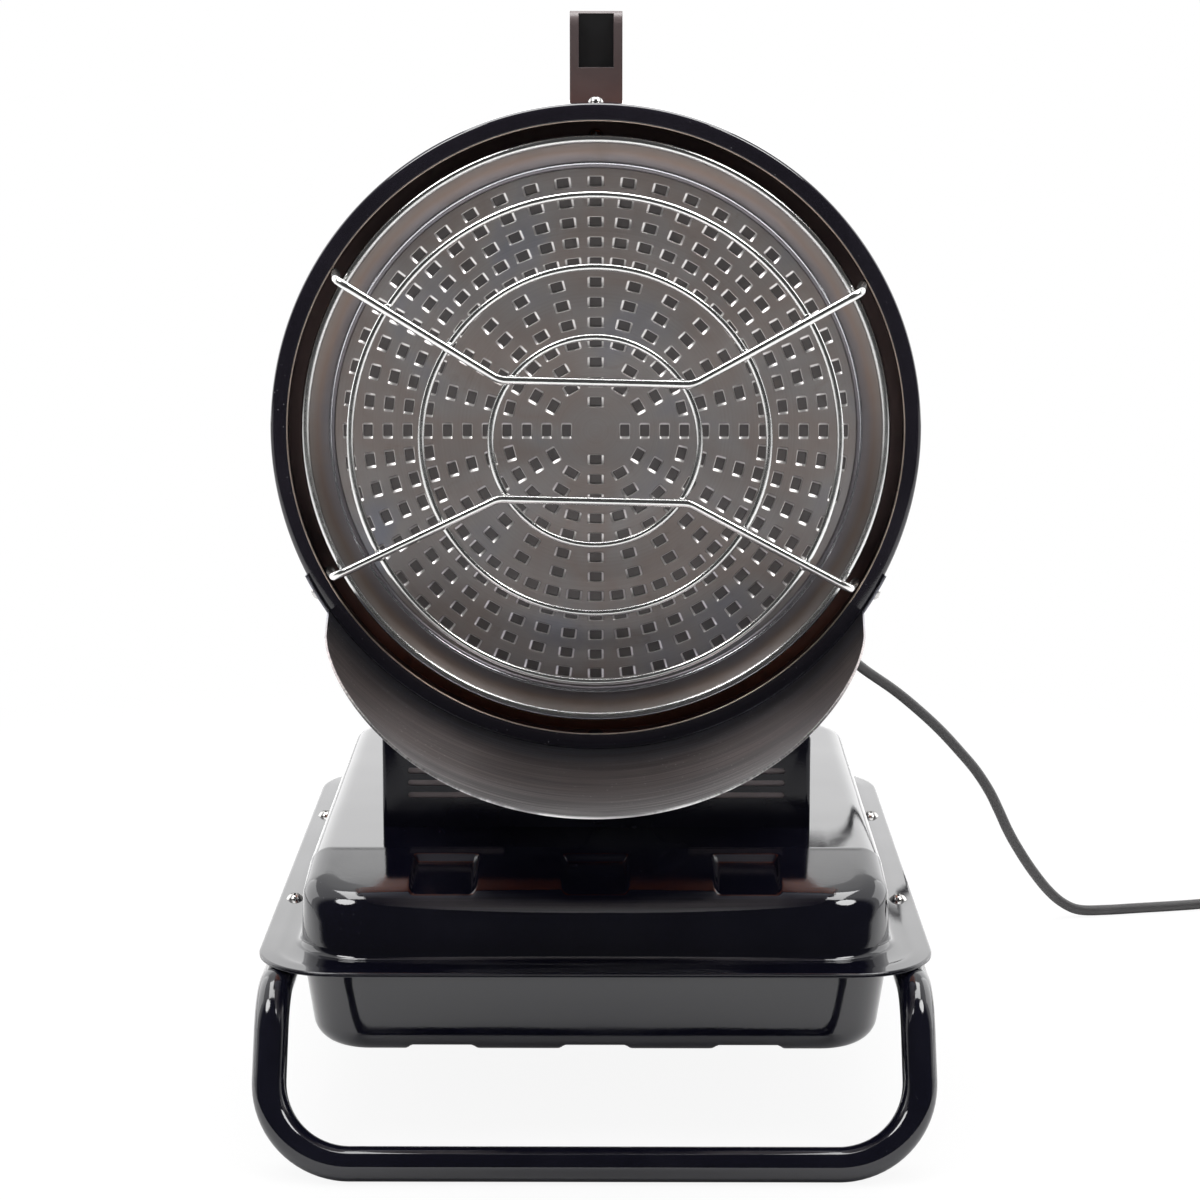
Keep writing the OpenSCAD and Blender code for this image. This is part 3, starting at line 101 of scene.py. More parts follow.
def coilRoute(kit):
    # in along the floor, a climb in the half turn where it reverses, and out again on top
    pitch = kit["width"] + kit["gap"]
    line = []
    for i in range(kit["perLoop"] * kit["loops"] + 1):
        u = i / kit["perLoop"]
        t = max(0.0, min(1.0, (u - kit["loops"] / 2 + 0.25) * 2))
        radius = kit["coilRadius"] - pitch * min(u, kit["loops"] - u)
        x, y, z = kit["coilPlace"]
        line.append(Vector((x + radius * math.sin(2 * math.pi * u), y + radius * math.cos(2 * math.pi * u),
                            z + pitch * t * t * (3 - 2 * t))))
    return line


def makeCord(kit):
    line = smoothRoute(kit["route"], kit["steps"])
    turns = coilRoute(kit)
    end = turns[-1]
    line += turns + [end + Vector((kit["width"], 0, 0)), end + Vector((kit["lead"], 0, 0))]
    curve = bpy.data.curves.new("cordSheath", "CURVE")
    curve.dimensions = "3D"
    curve.bevel_depth = kit["width"] / 2
    curve.bevel_resolution = 3
    curve.use_fill_caps = True
    spline = curve.splines.new("POLY")
    spline.points.add(len(line) - 1)
    for point, place in zip(spline.points, line):
        point.co = (*place, 1)
    spline.use_smooth = True
    sheath = bpy.data.objects.new("cordSheath", curve)
    scene.collection.objects.link(sheath)
    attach(sheath, "base")
    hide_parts("power_cord", "cord_coil")
    length = sum((b - a).length for a, b in zip(line, line[1:]))
    print("cord laid, metres:", round(length, 3))
    return sheath


cordSheath = makeCord(cordKit)


class Signal:
    # a socket that takes part in plain arithmetic
    def __init__(self, finish, socket):
        self.finish, self.socket = finish, socket

    def maths(self, operation, first, second):
        return self.finish.node("ShaderNodeMath", {"operation": operation}, {0: first, 1: second})

    def __add__(self, other): return self.maths("ADD", self, other)
    def __radd__(self, other): return self.maths("ADD", other, self)
    def __sub__(self, other): return self.maths("SUBTRACT", self, other)
    def __rsub__(self, other): return self.maths("SUBTRACT", other, self)
    def __mul__(self, other): return self.maths("MULTIPLY", self, other)
    def __rmul__(self, other): return self.maths("MULTIPLY", other, self)
    def __truediv__(self, other): return self.maths("DIVIDE", self, other)
    def __pow__(self, other): return self.maths("POWER", self, other)

    def ease(self, low, high):
        # 0 below low, 1 above high, smooth between
        return self.finish.node("ShaderNodeMapRange", {"interpolation_type": "SMOOTHSTEP"},
                                {"Value": self, "From Min": low, "From Max": high})


class Tree:
    # adds nodes to a tree and joins them
    def __init__(self, tree):
        self.tree = tree

    def node(self, kind, settings, sockets, output=0):
        made = self.tree.nodes.new(kind)
        for key, value in settings.items():
            if key == "stops":
                ramp = made.color_ramp
                while len(ramp.elements) < len(value):
                    ramp.elements.new(0.5)
                for element, (position, colour) in zip(ramp.elements, value):
                    element.position, element.color = position, (*colour, 1)
            else:
                setattr(made, key, value)
        for key, value in sockets.items():
            self.feed(made.inputs[key], value)
        return Signal(self, made.outputs[output])

    def feed(self, socket, value):
        if isinstance(value, Signal):
            self.tree.links.new(value.socket, socket)
        elif hasattr(value, "__len__") and len(value) == 3 and len(socket.default_value) == 4:
            socket.default_value = (*value, 1)
        else:
            socket.default_value = value

    def split(self, vector):
        parts = self.tree.nodes.new("ShaderNodeSeparateXYZ")
        self.feed(parts.inputs[0], vector)
        return [Signal(self, out) for out in parts.outputs]

    def seen(self, *rays):
        # 1 where one of these rays looks
        total = 0.0
        for ray in rays:
            total = total + self.node("ShaderNodeLightPath", {}, {}, f"Is {ray} Ray")
        return total


class Finish(Tree):
    # one material, with the shader's own sockets at hand
    def __init__(self, name):
        self.material = bpy.data.materials.new(name)
        self.material.use_nodes = True
        super().__init__(self.material.node_tree)
        self.shader = self.tree.nodes["Principled BSDF"]
        self.place = self.node("ShaderNodeTexCoord", {}, {}, "Object")

    def stretched(self, scale):
        return self.node("ShaderNodeMapping", {}, {"Vector": self.place, "Scale": scale})

    def noise(self, scale, detail=2.0, rough=0.5, vector=None, warp=0.0):
        return self.node("ShaderNodeTexNoise", {}, {"Vector": vector or self.place, "Scale": scale, "Detail": detail,
                                                    "Roughness": rough, "Distortion": warp}, "Fac")

    def specks(self, scale, size):
        # small scattered dots: 1 in a dot
        far = self.node("ShaderNodeTexVoronoi", {}, {"Vector": self.place, "Scale": scale}, "Distance")
        return 1 - far.ease(size * 0.6, size)

    def blend(self, amount, first, second):
        made = self.tree.nodes.new("ShaderNodeMix")
        made.data_type = "RGBA"
        for socket, value in zip((made.inputs[0], made.inputs[6], made.inputs[7]), (amount, first, second)):
            self.feed(socket, value)
        return Signal(self, made.outputs[2])

    def ramp(self, amount, *stops):
        return self.node("ShaderNodeValToRGB", {"stops": stops}, {"Fac": amount}, "Color")

    def bump(self, height, distance, under=None):
        sockets = {"Height": height, "Distance": distance, "Strength": 1.0}
        if under:
            sockets["Normal"] = under
        return self.node("ShaderNodeBump", {}, sockets, "Normal")

    def set(self, **values):
        names = {"base": "Base Color", "rough": "Roughness", "metal": "Metallic", "ior": "IOR", "normal": "Normal",
                 "through": "Transmission Weight"}
        for key, value in values.items():
            self.feed(self.shader.inputs[names[key]], value)
        return self.material


def glossPaint(name, colour, kit):
    # enamel on pressed sheet: a slight waviness, fine orange peel, smudges and a little dust
    f = Finish(name)
    dust = f.specks(kit["dustScale"], kit["dustSize"]) * f.noise(9, 2).ease(0.42, 0.75)
    smudge = f.noise(14, 4, 0.6, warp=0.6).ease(0.35, 0.8)
    lighter = tuple(min(1, c * 1.5 + 0.004) for c in colour)
    base = f.blend(smudge * 0.6, colour, lighter)
    base = f.blend(dust * kit["dust"], base, (0.22, 0.22, 0.23))
    rough = kit["rough"] + smudge * kit["smudge"] + dust * 0.25
    waves = f.bump(f.noise(11, 1), kit["wave"])
    peel = f.bump(f.noise(900, 2), kit["peel"], under=waves)
    return f.set(base=base, rough=rough, ior=kit["ior"], normal=peel)


paintKit = {"dustScale": 260, "dustSize": 0.07, "dust": 0.5, "rough": 0.05, "smudge": 0.07, "wave": 0.0006,
            "peel": 0.000012, "ior": 1.65}
satinKit = {"dustScale": 240, "dustSize": 0.08, "dust": 0.6, "rough": 0.1, "smudge": 0.1, "wave": 0.0003,
            "peel": 0.00002, "ior": 1.32}


def tintedSteel(name, kit):
    # stainless sheet that has been hot: straw, brown and blue patches, rolling marks round the axis, stains
    f = Finish(name)
    x, y, z = f.split(f.place)
    height = z - axisHeight
    radius = (x * x + height * height) ** 0.5
    patches = f.noise(kit["patch"], 3, 0.55, warp=0.4)
    tint = f.ramp(patches, (0.30, kit["blue"]), (0.44, kit["steel"]), (0.58, kit["brown"]), (0.74, kit["steel"]))
    ringCoord = f.node("ShaderNodeCombineXYZ", {}, {"X": radius * kit["lines"], "Y": y * kit["lines"], "Z": 0.0})
    lines = f.noise(1, 3, 0.6, vector=ringCoord)
    stain = f.noise(45, 5, 0.65, warp=0.9).ease(0.56, 0.78)
    if "bands" in kit:
        # rings of colour from the barrel out to the bead
        place = (radius - kit["bandStart"]) / kit["bandWidth"] + (f.noise(16, 3) - 0.5) * 0.16
        tint = f.blend(0.75, tint, f.ramp(place, *kit["bands"]))
    base = f.blend(lines.ease(0.3, 0.75) * kit["lineDepth"], tint, tuple(c * 0.55 for c in kit["steel"]))
    # painted shade: the deep parts are darkened, the floors of the disc's pressed strips, the gap behind the bead and
    # the liner; in the gap it is warmer towards the bottom
    soot = f.blend(height.ease(-0.15, -0.07), kit["low"], kit["soot"]) if "low" in kit else kit["soot"]
    base = f.blend(y.ease(*kit["pressed"]) * 0.85, base, soot)
    base = f.blend(stain * kit["stain"], base, kit["stainColour"])
    rough = kit["rough"] + stain * 0.14 + (lines - 0.5) * 0.16 + f.noise(420, 2) * 0.06
    if "slopes" in kit:
        # painted highlight: the slopes of the lances are made lighter and smoother, as if they caught the light
        start, end = kit["slopes"]
        slope = y.ease(start, start + 0.0002) * (1 - y.ease(end, end + 0.0002))
        base = f.blend(slope * 0.85, base, kit["rubbed"])
        rough = rough - slope * 0.18
    normal = f.bump(lines, kit["groove"], under=f.bump(f.noise(30, 2), kit["dent"]))
    return f.set(base=base, rough=rough, metal=1.0, normal=normal)


heatSteel = {"patch": 13, "blue": (0.36, 0.37, 0.42), "steel": (0.43, 0.405, 0.40),
             "brown": (0.41, 0.355, 0.33), "lines": 900, "lineDepth": 0.12, "stain": 0.35,
             "stainColour": (0.30, 0.25, 0.22), "rough": 0.46, "groove": 0.00001, "dent": 0.00025}
discSteel = dict(heatSteel, blue=(0.33, 0.335, 0.38), steel=(0.39, 0.367, 0.362), brown=(0.37, 0.32, 0.30),
                 pressed=(-0.1491, -0.1487), soot=(0.15, 0.14, 0.14), slopes=(-0.1499, -0.1489),
                 rubbed=(0.90, 0.87, 0.86))
coneSteel = dict(heatSteel, patch=20, lineDepth=0.35, rough=0.42, groove=0.00002, stain=0.5,
                 pressed=(-0.152, -0.140), soot=(0.20, 0.135, 0.13), low=(0.75, 0.34, 0.24),
                 bandStart=0.150, bandWidth=0.025,
                 bands=[(0.24, (0.24, 0.23, 0.265)), (0.45, (0.195, 0.17, 0.18)), (0.60, (0.21, 0.14, 0.106)),
                        (0.78, (0.23, 0.20, 0.183))])
linerSteel = dict(heatSteel, pressed=(-0.152, 0.6), soot=(0.1, 0.08, 0.07), steel=(0.2, 0.18, 0.17),
                  brown=(0.16, 0.12, 0.1), blue=(0.15, 0.15, 0.18), rough=0.5)


def brushedShield(name, kit):
    # dark stainless, brushed round the drum: each line keeps its depth
    f = Finish(name)
    x, y, z = f.split(f.place)
    turn = f.node("ShaderNodeMath", {"operation": "ARCTAN2"}, {0: x, 1: axisHeight - z})
    coord = f.node("ShaderNodeCombineXYZ", {}, {"X": turn * kit["along"], "Y": y * kit["across"], "Z": 0.0})
    wide = f.node("ShaderNodeCombineXYZ", {}, {"X": turn * 1.2, "Y": y * kit["across"] * 0.05, "Z": 4.0})
    hair = f.noise(1, 4, 0.65, vector=coord)
    bands = f.noise(1, 3, 0.55, vector=wide)
    dust = f.specks(210, 0.13) * f.noise(12, 2).ease(0.35, 0.6)
    # painted reflection and highlight: the base runs from dark at the ring's root, standing in for the black ring
    # reflected there, to light at the front edge, a painted edge highlight
    reach = (kit["root"] - y) / kit["reach"] + (bands - 0.5) * 0.5
    base = f.ramp(reach, (0.05, kit["dark"]), (0.40, kit["warm"]), (0.62, kit["warm"]), (0.95, kit["light"]))
    base = f.blend(hair.ease(0.35, 0.68) * 0.75, base, kit["line"])
    base = f.blend(bands.ease(0.45, 0.62) * 0.45, base, kit["line"])
    base = f.blend(dust * 0.8, base, (0.95, 0.95, 0.95))
    rough = kit["rough"] + (hair - 0.5) * 0.2 + dust * 0.3
    return f.set(base=base, rough=rough, metal=1.0, normal=f.bump(hair, kit["groove"]))


shieldKit = {"along": 1.6, "across": 1100.0, "dark": (0.33, 0.34, 0.39), "root": -0.160,
             "reach": 0.162, "warm": (0.46, 0.41, 0.40), "light": (0.85, 0.84, 0.84), "rough": 0.34,
             "groove": 0.00003, "line": (0.16, 0.15, 0.16)}


def plainMetal(name, colour, rough, wear=0.3, grain=700, metal=1.0):
    # plain or plated metal, a little clouded
    f = Finish(name)
    cloud = f.noise(60, 4, 0.6)
    base = f.blend(cloud.ease(0.45, 0.8) * wear, colour, tuple(c * 0.55 for c in colour))
    return f.set(base=base, rough=rough + (cloud - 0.5) * 0.15, metal=metal,
                 normal=f.bump(f.noise(grain, 2), 0.00001))


def drawnWire(name):
    # bright drawn wire: soft flow marks and faint tint spots
    f = Finish(name)
    flow = f.noise(1, 3, 0.6, vector=f.stretched((60, 400, 400)))
    spots = f.noise(160, 3, 0.6).ease(0.6, 0.8)
    base = f.blend(spots * 0.35, (0.76, 0.76, 0.75), (0.5, 0.48, 0.46))
    return f.set(base=base, rough=0.20 + (flow - 0.5) * 0.1 + spots * 0.1, metal=1.0,
                 normal=f.bump(flow, 0.00002))


def plastic(name, colour, rough, grain=0.00003):
    # moulded plastic: even fine grain, handling marks
    f = Finish(name)
    marks = f.noise(25, 4, 0.6, warp=0.5).ease(0.4, 0.8)
    base = f.blend(marks * 0.5, colour, tuple(min(1, c * 1.35 + 0.003) for c in colour))
    fine = f.noise(1500, 2, 0.7)
    return f.set(base=base, rough=rough + marks * 0.08 + (fine - 0.5) * 0.08, ior=1.5, normal=f.bump(fine, grain))


def rubber(name, colour):
    # a dull skin with a pale bloom on it
    f = Finish(name)
    bloom = f.noise(70, 4, 0.6).ease(0.4, 0.8)
    base = f.blend(bloom * 0.5, colour, tuple(c * 1.4 + 0.01 for c in colour))
    return f.set(base=base, rough=0.55 + bloom * 0.12, normal=f.bump(f.noise(2200, 2), 0.00002))


def clearWindow(name):
    # clear plastic with a faint haze
    f = Finish(name)
    haze = f.noise(90, 3).ease(0.4, 0.9)
    return f.set(base=f.blend(haze * 0.3, (0.94, 0.95, 0.95), (0.8, 0.82, 0.82)), rough=0.03 + haze * 0.08,
                 through=1.0, ior=1.49)


finishes = {
    "gloss_black_paint": glossPaint("glossBlack", (0.003, 0.003, 0.0075), paintKit),
    "satin_black_paint": glossPaint("satinBlack", (0.004, 0.004, 0.008), satinKit),
    "burnt_orange_paint": glossPaint("burntOrange", (0.36, 0.090, 0.030), dict(paintKit, ior=1.5, dust=0.2)),
    "zinc_steel": plainMetal("zincPlate", (0.50, 0.49, 0.48), 0.2),
    "bright_wire": drawnWire("brightWire"),
    "tinted_steel": tintedSteel("heatTintedLiner", linerSteel),
    "shield_steel": brushedShield("brushedShieldSteel", shieldKit),
    "matte_black_plastic": plastic("grainedBlack", (0.012, 0.012, 0.013), 0.42),
    "gloss_black_plastic": plastic("smoothBlack", (0.010, 0.010, 0.011), 0.2, grain=0.00001),
    "red_plastic": plastic("redPlastic", (0.45, 0.02, 0.015), 0.25, grain=0.00001),
    "lamp_plastic": plastic("amberLens", (0.75, 0.28, 0.02), 0.12, grain=0.00001),
    "clear_window": clearWindow("gaugeWindow"),
    "rubber_black": rubber("blackRubber", (0.012, 0.012, 0.012)),
    "cord_rubber": rubber("cordRubber", (0.045, 0.044, 0.045)),
    "brass": plainMetal("turnedBrass", (0.68, 0.48, 0.2), 0.25),
    "ceramic": plastic("whiteCeramic", (0.72, 0.69, 0.62), 0.15, grain=0.00001),
    "board_plastic": plastic("boardGreen", (0.01, 0.11, 0.035), 0.35),
    "cast_grey": plainMetal("castGrey", (0.26, 0.26, 0.26), 0.5, grain=260),
    "cast_aluminium": plainMetal("castAluminium", (0.6, 0.61, 0.62), 0.35, grain=300),
    "heat_disc": tintedSteel("heatTintedDisc", discSteel),
    "heat_cone": tintedSteel("heatTintedCone", coneSteel),
    "rolled_bead": drawnWire("rolledBead"),
    "bright_bend": plainMetal("brightBend", (0.70, 0.70, 0.74), 0.16),
    # painted highlight for the ring's inner hem
    "ring_edge_highlight": plainMetal("wornEdge", (0.62, 0.50, 0.42), 0.3, wear=0.7),
    "ring_paint": glossPaint("ringBlack", (0.011, 0.0095, 0.0145), dict(paintKit, dust=0.9, dustSize=0.11)),
    "handle_plastic": plastic("handlePlastic", (0.10, 0.076, 0.076), 0.34, grain=0.00002),
    "baffle": plainMetal("baffleSheet", (0.22, 0.185, 0.19), 0.5, metal=0.0),
    "white_print": plainMetal("whitePrint", (0.75, 0.75, 0.73), 0.5, metal=0.0),
}


def dressNodes():
    for name, item in nodes.items():
        item.data.materials.clear()
        item.data.materials.append(finishes[slots[name]])


dressNodes()
cordSheath.data.materials.append(finishes["cord_rubber"])
print("finishes on:", len(finishes))


def newPiece(name, bm, body, finish, replaced=(), sharp=32, turned=True):
    # a finished mesh at the origin, on its body; turned sets its faces outwards
    if turned:
        bmesh.ops.recalc_face_normals(bm, faces=bm.faces)
    mesh = bpy.data.meshes.new(name)
    bm.to_mesh(mesh)
    bm.free()
    mesh.shade_smooth()
    mesh.set_sharp_from_angle(angle=math.radians(sharp))
    mesh.materials.append(finish)
    piece = bpy.data.objects.new(name, mesh)
    scene.collection.objects.link(piece)
    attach(piece, body)
    if replaced:
        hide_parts(*replaced)
    return piece


def roundEdges(piece, width, segments, angle):
    soft = piece.modifiers.new("edges", "BEVEL")
    soft.width, soft.segments, soft.limit_method = width, segments, "ANGLE"
    soft.angle_limit = math.radians(angle)
    return soft


def thicken(piece, thickness, offset):
    thick = piece.modifiers.new("sheet", "SOLIDIFY")
    thick.thickness, thick.offset = thickness, offset


def lathe(section, steps, start=0.0, sweep=360.0):
    # spins a closed section of (radius, depth) points round the drum's axis, angles counted from the bottom
    bm = bmesh.new()
    turn = math.radians(start)
    down = Vector((math.sin(turn), 0, -math.cos(turn)))
    points = [Vector((0, faceY + depth, axisHeight)) + down * radius for radius, depth in section]
    verts = [bm.verts.new(point) for point in points]
    edges = [bm.edges.new(pair) for pair in zip(verts, verts[1:] + verts[:1])]
    spun = bmesh.ops.spin(bm, geom=verts + edges, cent=(0, 0, axisHeight), axis=(0, -1, 0),
                          angle=math.radians(sweep), steps=steps, use_duplicate=False)
    if sweep >= 360:
        bmesh.ops.remove_doubles(bm, verts=bm.verts, dist=1e-6)
    else:
        last = [item for item in spun["geom_last"] if isinstance(item, bmesh.types.BMVert)]
        bmesh.ops.contextual_create(bm, geom=verts)
        bmesh.ops.contextual_create(bm, geom=last)
    return bm


def arc(x, y, radius, start, end, steps):
    # points round a centre, angles in degrees
    return [(x + radius * math.cos(math.radians(start + (end - start) * i / steps)),
             y + radius * math.sin(math.radians(start + (end - start) * i / steps))) for i in range(steps + 1)]


ringKit = {"radius": 0.1925, "inner": 0.1825, "wall": 0.0012, "edge": 0.003, "hem": 0.0008, "deep": 0.040,
           "hemDeep": 0.014, "faceDeep": 0.0016, "worn": (0.1826, 0.0006, 0.00055), "lapGrow": 0.0004,
           "lapAt": -4.2, "lap": 3.2}


def ringSection(grow):
    # the band, the rolled edge, the face and the turned-in hem
    kit = ringKit
    r, wall, edge, hem, inner = kit["radius"] + grow, kit["wall"], kit["edge"], kit["hem"], kit["inner"]
    outside = [(r, kit["deep"])] + arc(r - edge, edge - grow, edge, 0, -90, 10)
    front = (arc(inner + hem, hem - grow, hem, -90, -180, 5)
             + [(inner, kit["hemDeep"]), (inner + wall, kit["hemDeep"])])
    back = [(inner + wall, kit["faceDeep"])] + arc(r - edge, edge, edge - wall, -90, 0, 6) + [(r - wall, kit["deep"])]
    return outside + front + back


def makeFrontRing():
    kit = ringKit
    newPiece("frontRingBand", lathe(ringSection(0.0), 256), "head", finishes["ring_paint"], ["front_ring"])
    # painted highlight: a thin torus of lighter metal along the inner hem of the face
    newPiece("frontRingEdge", lathe(arc(*kit["worn"], 0, 345, 11), 256), "head", finishes["ring_edge_highlight"])
    # the ends of the band overlap at the bottom
    lap = lathe(ringSection(kit["lapGrow"]), 8, start=kit["lapAt"], sweep=kit["lap"])
    newPiece("frontRingLap", lap, "head", finishes["ring_paint"])


def makeReflector():
    kit = {"beadRadius": 0.1718, "beadDepth": 0.003, "bead": 0.0025, "inner": 0.155, "corner": 0.0016,
           "discDepth": 0.010, "back": 0.036, "flange": 0.1899, "sheet": 0.0008, "flareSteps": 14,
           "tuck": 0.0022, "flareStart": 0.0036, "flareDeep": 0.0052, "hollow": 0.0012, "cornerDepth": 0.0098,
           "barrelDepth": 0.012, "lip": 0.0015, "lipDepth": 0.0048,
           "bend": [(0.0032, -0.0021), (0.0024, -0.0021), (0.0019, -0.0018), (0.0010, -0.0006), (0.0006, 0.0004),
                    (0.0030, 0.0004)]}
    b, i, c = kit["beadRadius"], kit["inner"], kit["corner"]
    # from the bead down a slightly hollow flare to the rounded corner, then back along the barrel
    flare = []
    for k in range(kit["flareSteps"] + 1):
        t = k / kit["flareSteps"]
        radius = b - kit["tuck"] + (i + c - b + kit["tuck"]) * t
        hollow = kit["hollow"] * math.sin(math.pi * t)
        flare.append((radius, kit["flareStart"] + kit["flareDeep"] * t + hollow))
    corner = arc(i + c, kit["cornerDepth"], c, -90, -180, 6)
    front = flare + corner + [(i, kit["back"]), (kit["flange"], kit["back"])]
    sheet = [(kit["flange"], kit["back"] + kit["sheet"]), (i + kit["sheet"], kit["back"] + kit["sheet"])]
    behind = [(i + kit["sheet"], kit["barrelDepth"]), (b - kit["lip"], kit["lipDepth"])]
    cone = lathe(front + sheet + behind, 240)
    newPiece("reflectorCone", cone, "head", finishes["heat_cone"], ["reflector"])
    bead = lathe(arc(b, kit["beadDepth"], kit["bead"], 0, 345, 23), 256)
    newPiece("reflectorBead", bead, "head", finishes["rolled_bead"])
    # painted highlight: the disc's rounded corner is a ring of lighter, smoother metal than the disc
    bend = lathe([(i + out, kit["discDepth"] + deep) for out, deep in kit["bend"]], 256)
    newPiece("reflectorBend", bend, "head", finishes["bright_bend"])


def lanceLoop(long, high, corner):
    # a rounded rectangle of half sizes long and high
    return (arc(long - corner, high - corner, corner, 0, 90, 2)
            + arc(corner - long, high - corner, corner, 90, 180, 2)
            + arc(corner - long, corner - high, corner, 180, 270, 2)
            + arc(long - corner, corner - high, corner, 270, 360, 2))


def makeDisc():
    # the sheet is lanced at each hole: a strip is pressed in, with a slope at each end
    kit = {"depth": 0.010, "sheet": 0.0009, "radius": 0.1547, "first": 0.0173, "step": 0.0118,
           "counts": [4, 12, 12, 24, 24, 24, 24, 48, 48, 48, 48, 48],
           "long": 0.0046, "high": 0.0029, "corner": 0.0007, "rim": 0.0005, "rimDeep": 0.0003,
           "press": 0.0016, "shoulder": 0.0015, "side": 0.00035, "turnedBack": 0.011}
    long, high, corner, rim = kit["long"], kit["high"], kit["corner"], kit["rim"]
    wide = lanceLoop(long + rim, high + rim, corner + rim)
    narrow = lanceLoop(long, high, corner)
    sunk = lanceLoop(long - kit["shoulder"], high - kit["side"], corner / 2)
    bm = bmesh.new()

    def loopOf(points):
        verts = [bm.verts.new(point) for point in points]
        return verts, [bm.edges.new(pair) for pair in zip(verts, verts[1:] + verts[:1])]

    y = faceY + kit["depth"]
    outerLoop, edges = loopOf([(x, y, axisHeight + z) for x, z in arc(0, 0, kit["radius"], 0, 358.2, 199)])
    strips = []
    for row, count in enumerate(kit["counts"]):
        for k in range(count):
            turn = 2 * math.pi * k / count
            centre = kit["first"] + kit["step"] * row

            def place(along, across, deep):
                out = centre + across
                return Vector((out * math.cos(turn) - along * math.sin(turn), y + deep,
                               axisHeight + out * math.sin(turn) + along * math.cos(turn)))

            outer, outerEdges = loopOf([place(a, b, 0) for a, b in wide])
            inner = [bm.verts.new(place(a, b, kit["rimDeep"])) for a, b in narrow]
            floor = [bm.verts.new(place(a, b, kit["press"])) for a, b in sunk]
            edges += outerEdges
            for near, far in ((outer, inner), (inner, floor)):
                strips += [(near[i - 1], near[i], far[i], far[i - 1]) for i in range(len(near))]
            strips.append(floor)
    bmesh.ops.triangle_fill(bm, use_beauty=True, edges=edges)
    for corners in strips:
        bm.faces.new(corners)
    bmesh.ops.remove_doubles(bm, verts=bm.verts, dist=2e-6)
    # the plate's turned-back rim
    outerLoop = [vert for vert in outerLoop if vert.is_valid]
    border = {edge for vert in outerLoop for edge in vert.link_edges if edge.is_boundary}
    for item in bmesh.ops.extrude_edge_only(bm, edges=list(border))["geom"]:
        if isinstance(item, bmesh.types.BMVert):
            item.co.y += kit["turnedBack"]
    disc = newPiece("lancedDisc", bm, "head", finishes["heat_disc"], ["radiant_disc"], sharp=24)
    thicken(disc, kit["sheet"], -1)
    print("disc lances:", sum(kit["counts"]), "faces:", len(disc.data.polygons))


def makeShield():
    kit = {"radius": 0.1931, "sheet": 0.0014, "reach": 0.162, "wing": 55.4, "ear": 63.7, "power": 2.75,
           "earFront": -0.002, "back": 0.030, "steps": 150, "rows": 36, "edge": 0.00045}
    bm = bmesh.new()
    columns = []
    for i in range(kit["steps"] + 1):
        b = kit["ear"] * (2 * i / kit["steps"] - 1)
        share = min(1.0, abs(b) / kit["wing"])
        # the front edge is a full curve that runs back to the ears
        lean = math.asin(share ** (kit["power"] / 2))
        reach = kit["reach"] * math.cos(lean) ** (2 / kit["power"])
        front = min(-reach, kit["earFront"]) if abs(b) < kit["wing"] else kit["earFront"]
        turn = math.radians(b)
        column = []
        for k in range(kit["rows"] + 1):
            depth = front + (kit["back"] - front) * (k / kit["rows"])
            column.append(bm.verts.new((kit["radius"] * math.sin(turn), faceY + depth,
                                        axisHeight - kit["radius"] * math.cos(turn))))
        columns.append(column)
    for a, b in zip(columns, columns[1:]):
        for k in range(kit["rows"]):
            bm.faces.new((a[k], b[k], b[k + 1], a[k + 1]))
    shield = newPiece("lowerShieldSheet", bm, "head", finishes["shield_steel"], ["lower_shield"])
    thicken(shield, kit["sheet"], 1)
    roundEdges(shield, kit["edge"], 3, 50)


def softCopy(name):
    # a copy of a CAD node, merged, with its flat faces whole
    bm = bmesh.new()
    bm.from_mesh(nodes[name].data)
    bmesh.ops.remove_doubles(bm, verts=bm.verts, dist=2e-6)
    bmesh.ops.dissolve_limit(bm, angle_limit=math.radians(0.6), verts=bm.verts, edges=bm.edges)
    return bm


def placeCopy(name, bm, width):
    # it takes the node's place with its sharp edges rounded
    parts = name.split("_")
    fresh = parts[0] + "".join(part.capitalize() for part in parts[1:]) + "Soft"
    piece = newPiece(fresh, bm, owners[name], finishes[slots[name]], [name], turned=False)
    roundEdges(piece, width, 2, 38).harden_normals = True


softEdges = {
    "pivot_brackets": 0.0006, "pivot_cheeks": 0.0006, "tilt_knob_left": 0.0008, "tilt_knob_right": 0.0008,
    "control_panel": 0.0005, "power_switch": 0.0005, "thermostat_knob": 0.0006, "thermostat_body": 0.0004,
    "reset_button": 0.0006, "fuel_cap": 0.0008, "drain_plug": 0.0005, "rest_pad": 0.0006, "motor": 0.0008,
    "pump_body": 0.0006, "ignition_transformer": 0.0008, "rear_housing": 0.0006, "drum_casing": 0.0004,
    "filler_neck": 0.0004, "motor_mount": 0.0004, "fan_impeller": 0.0003,
}


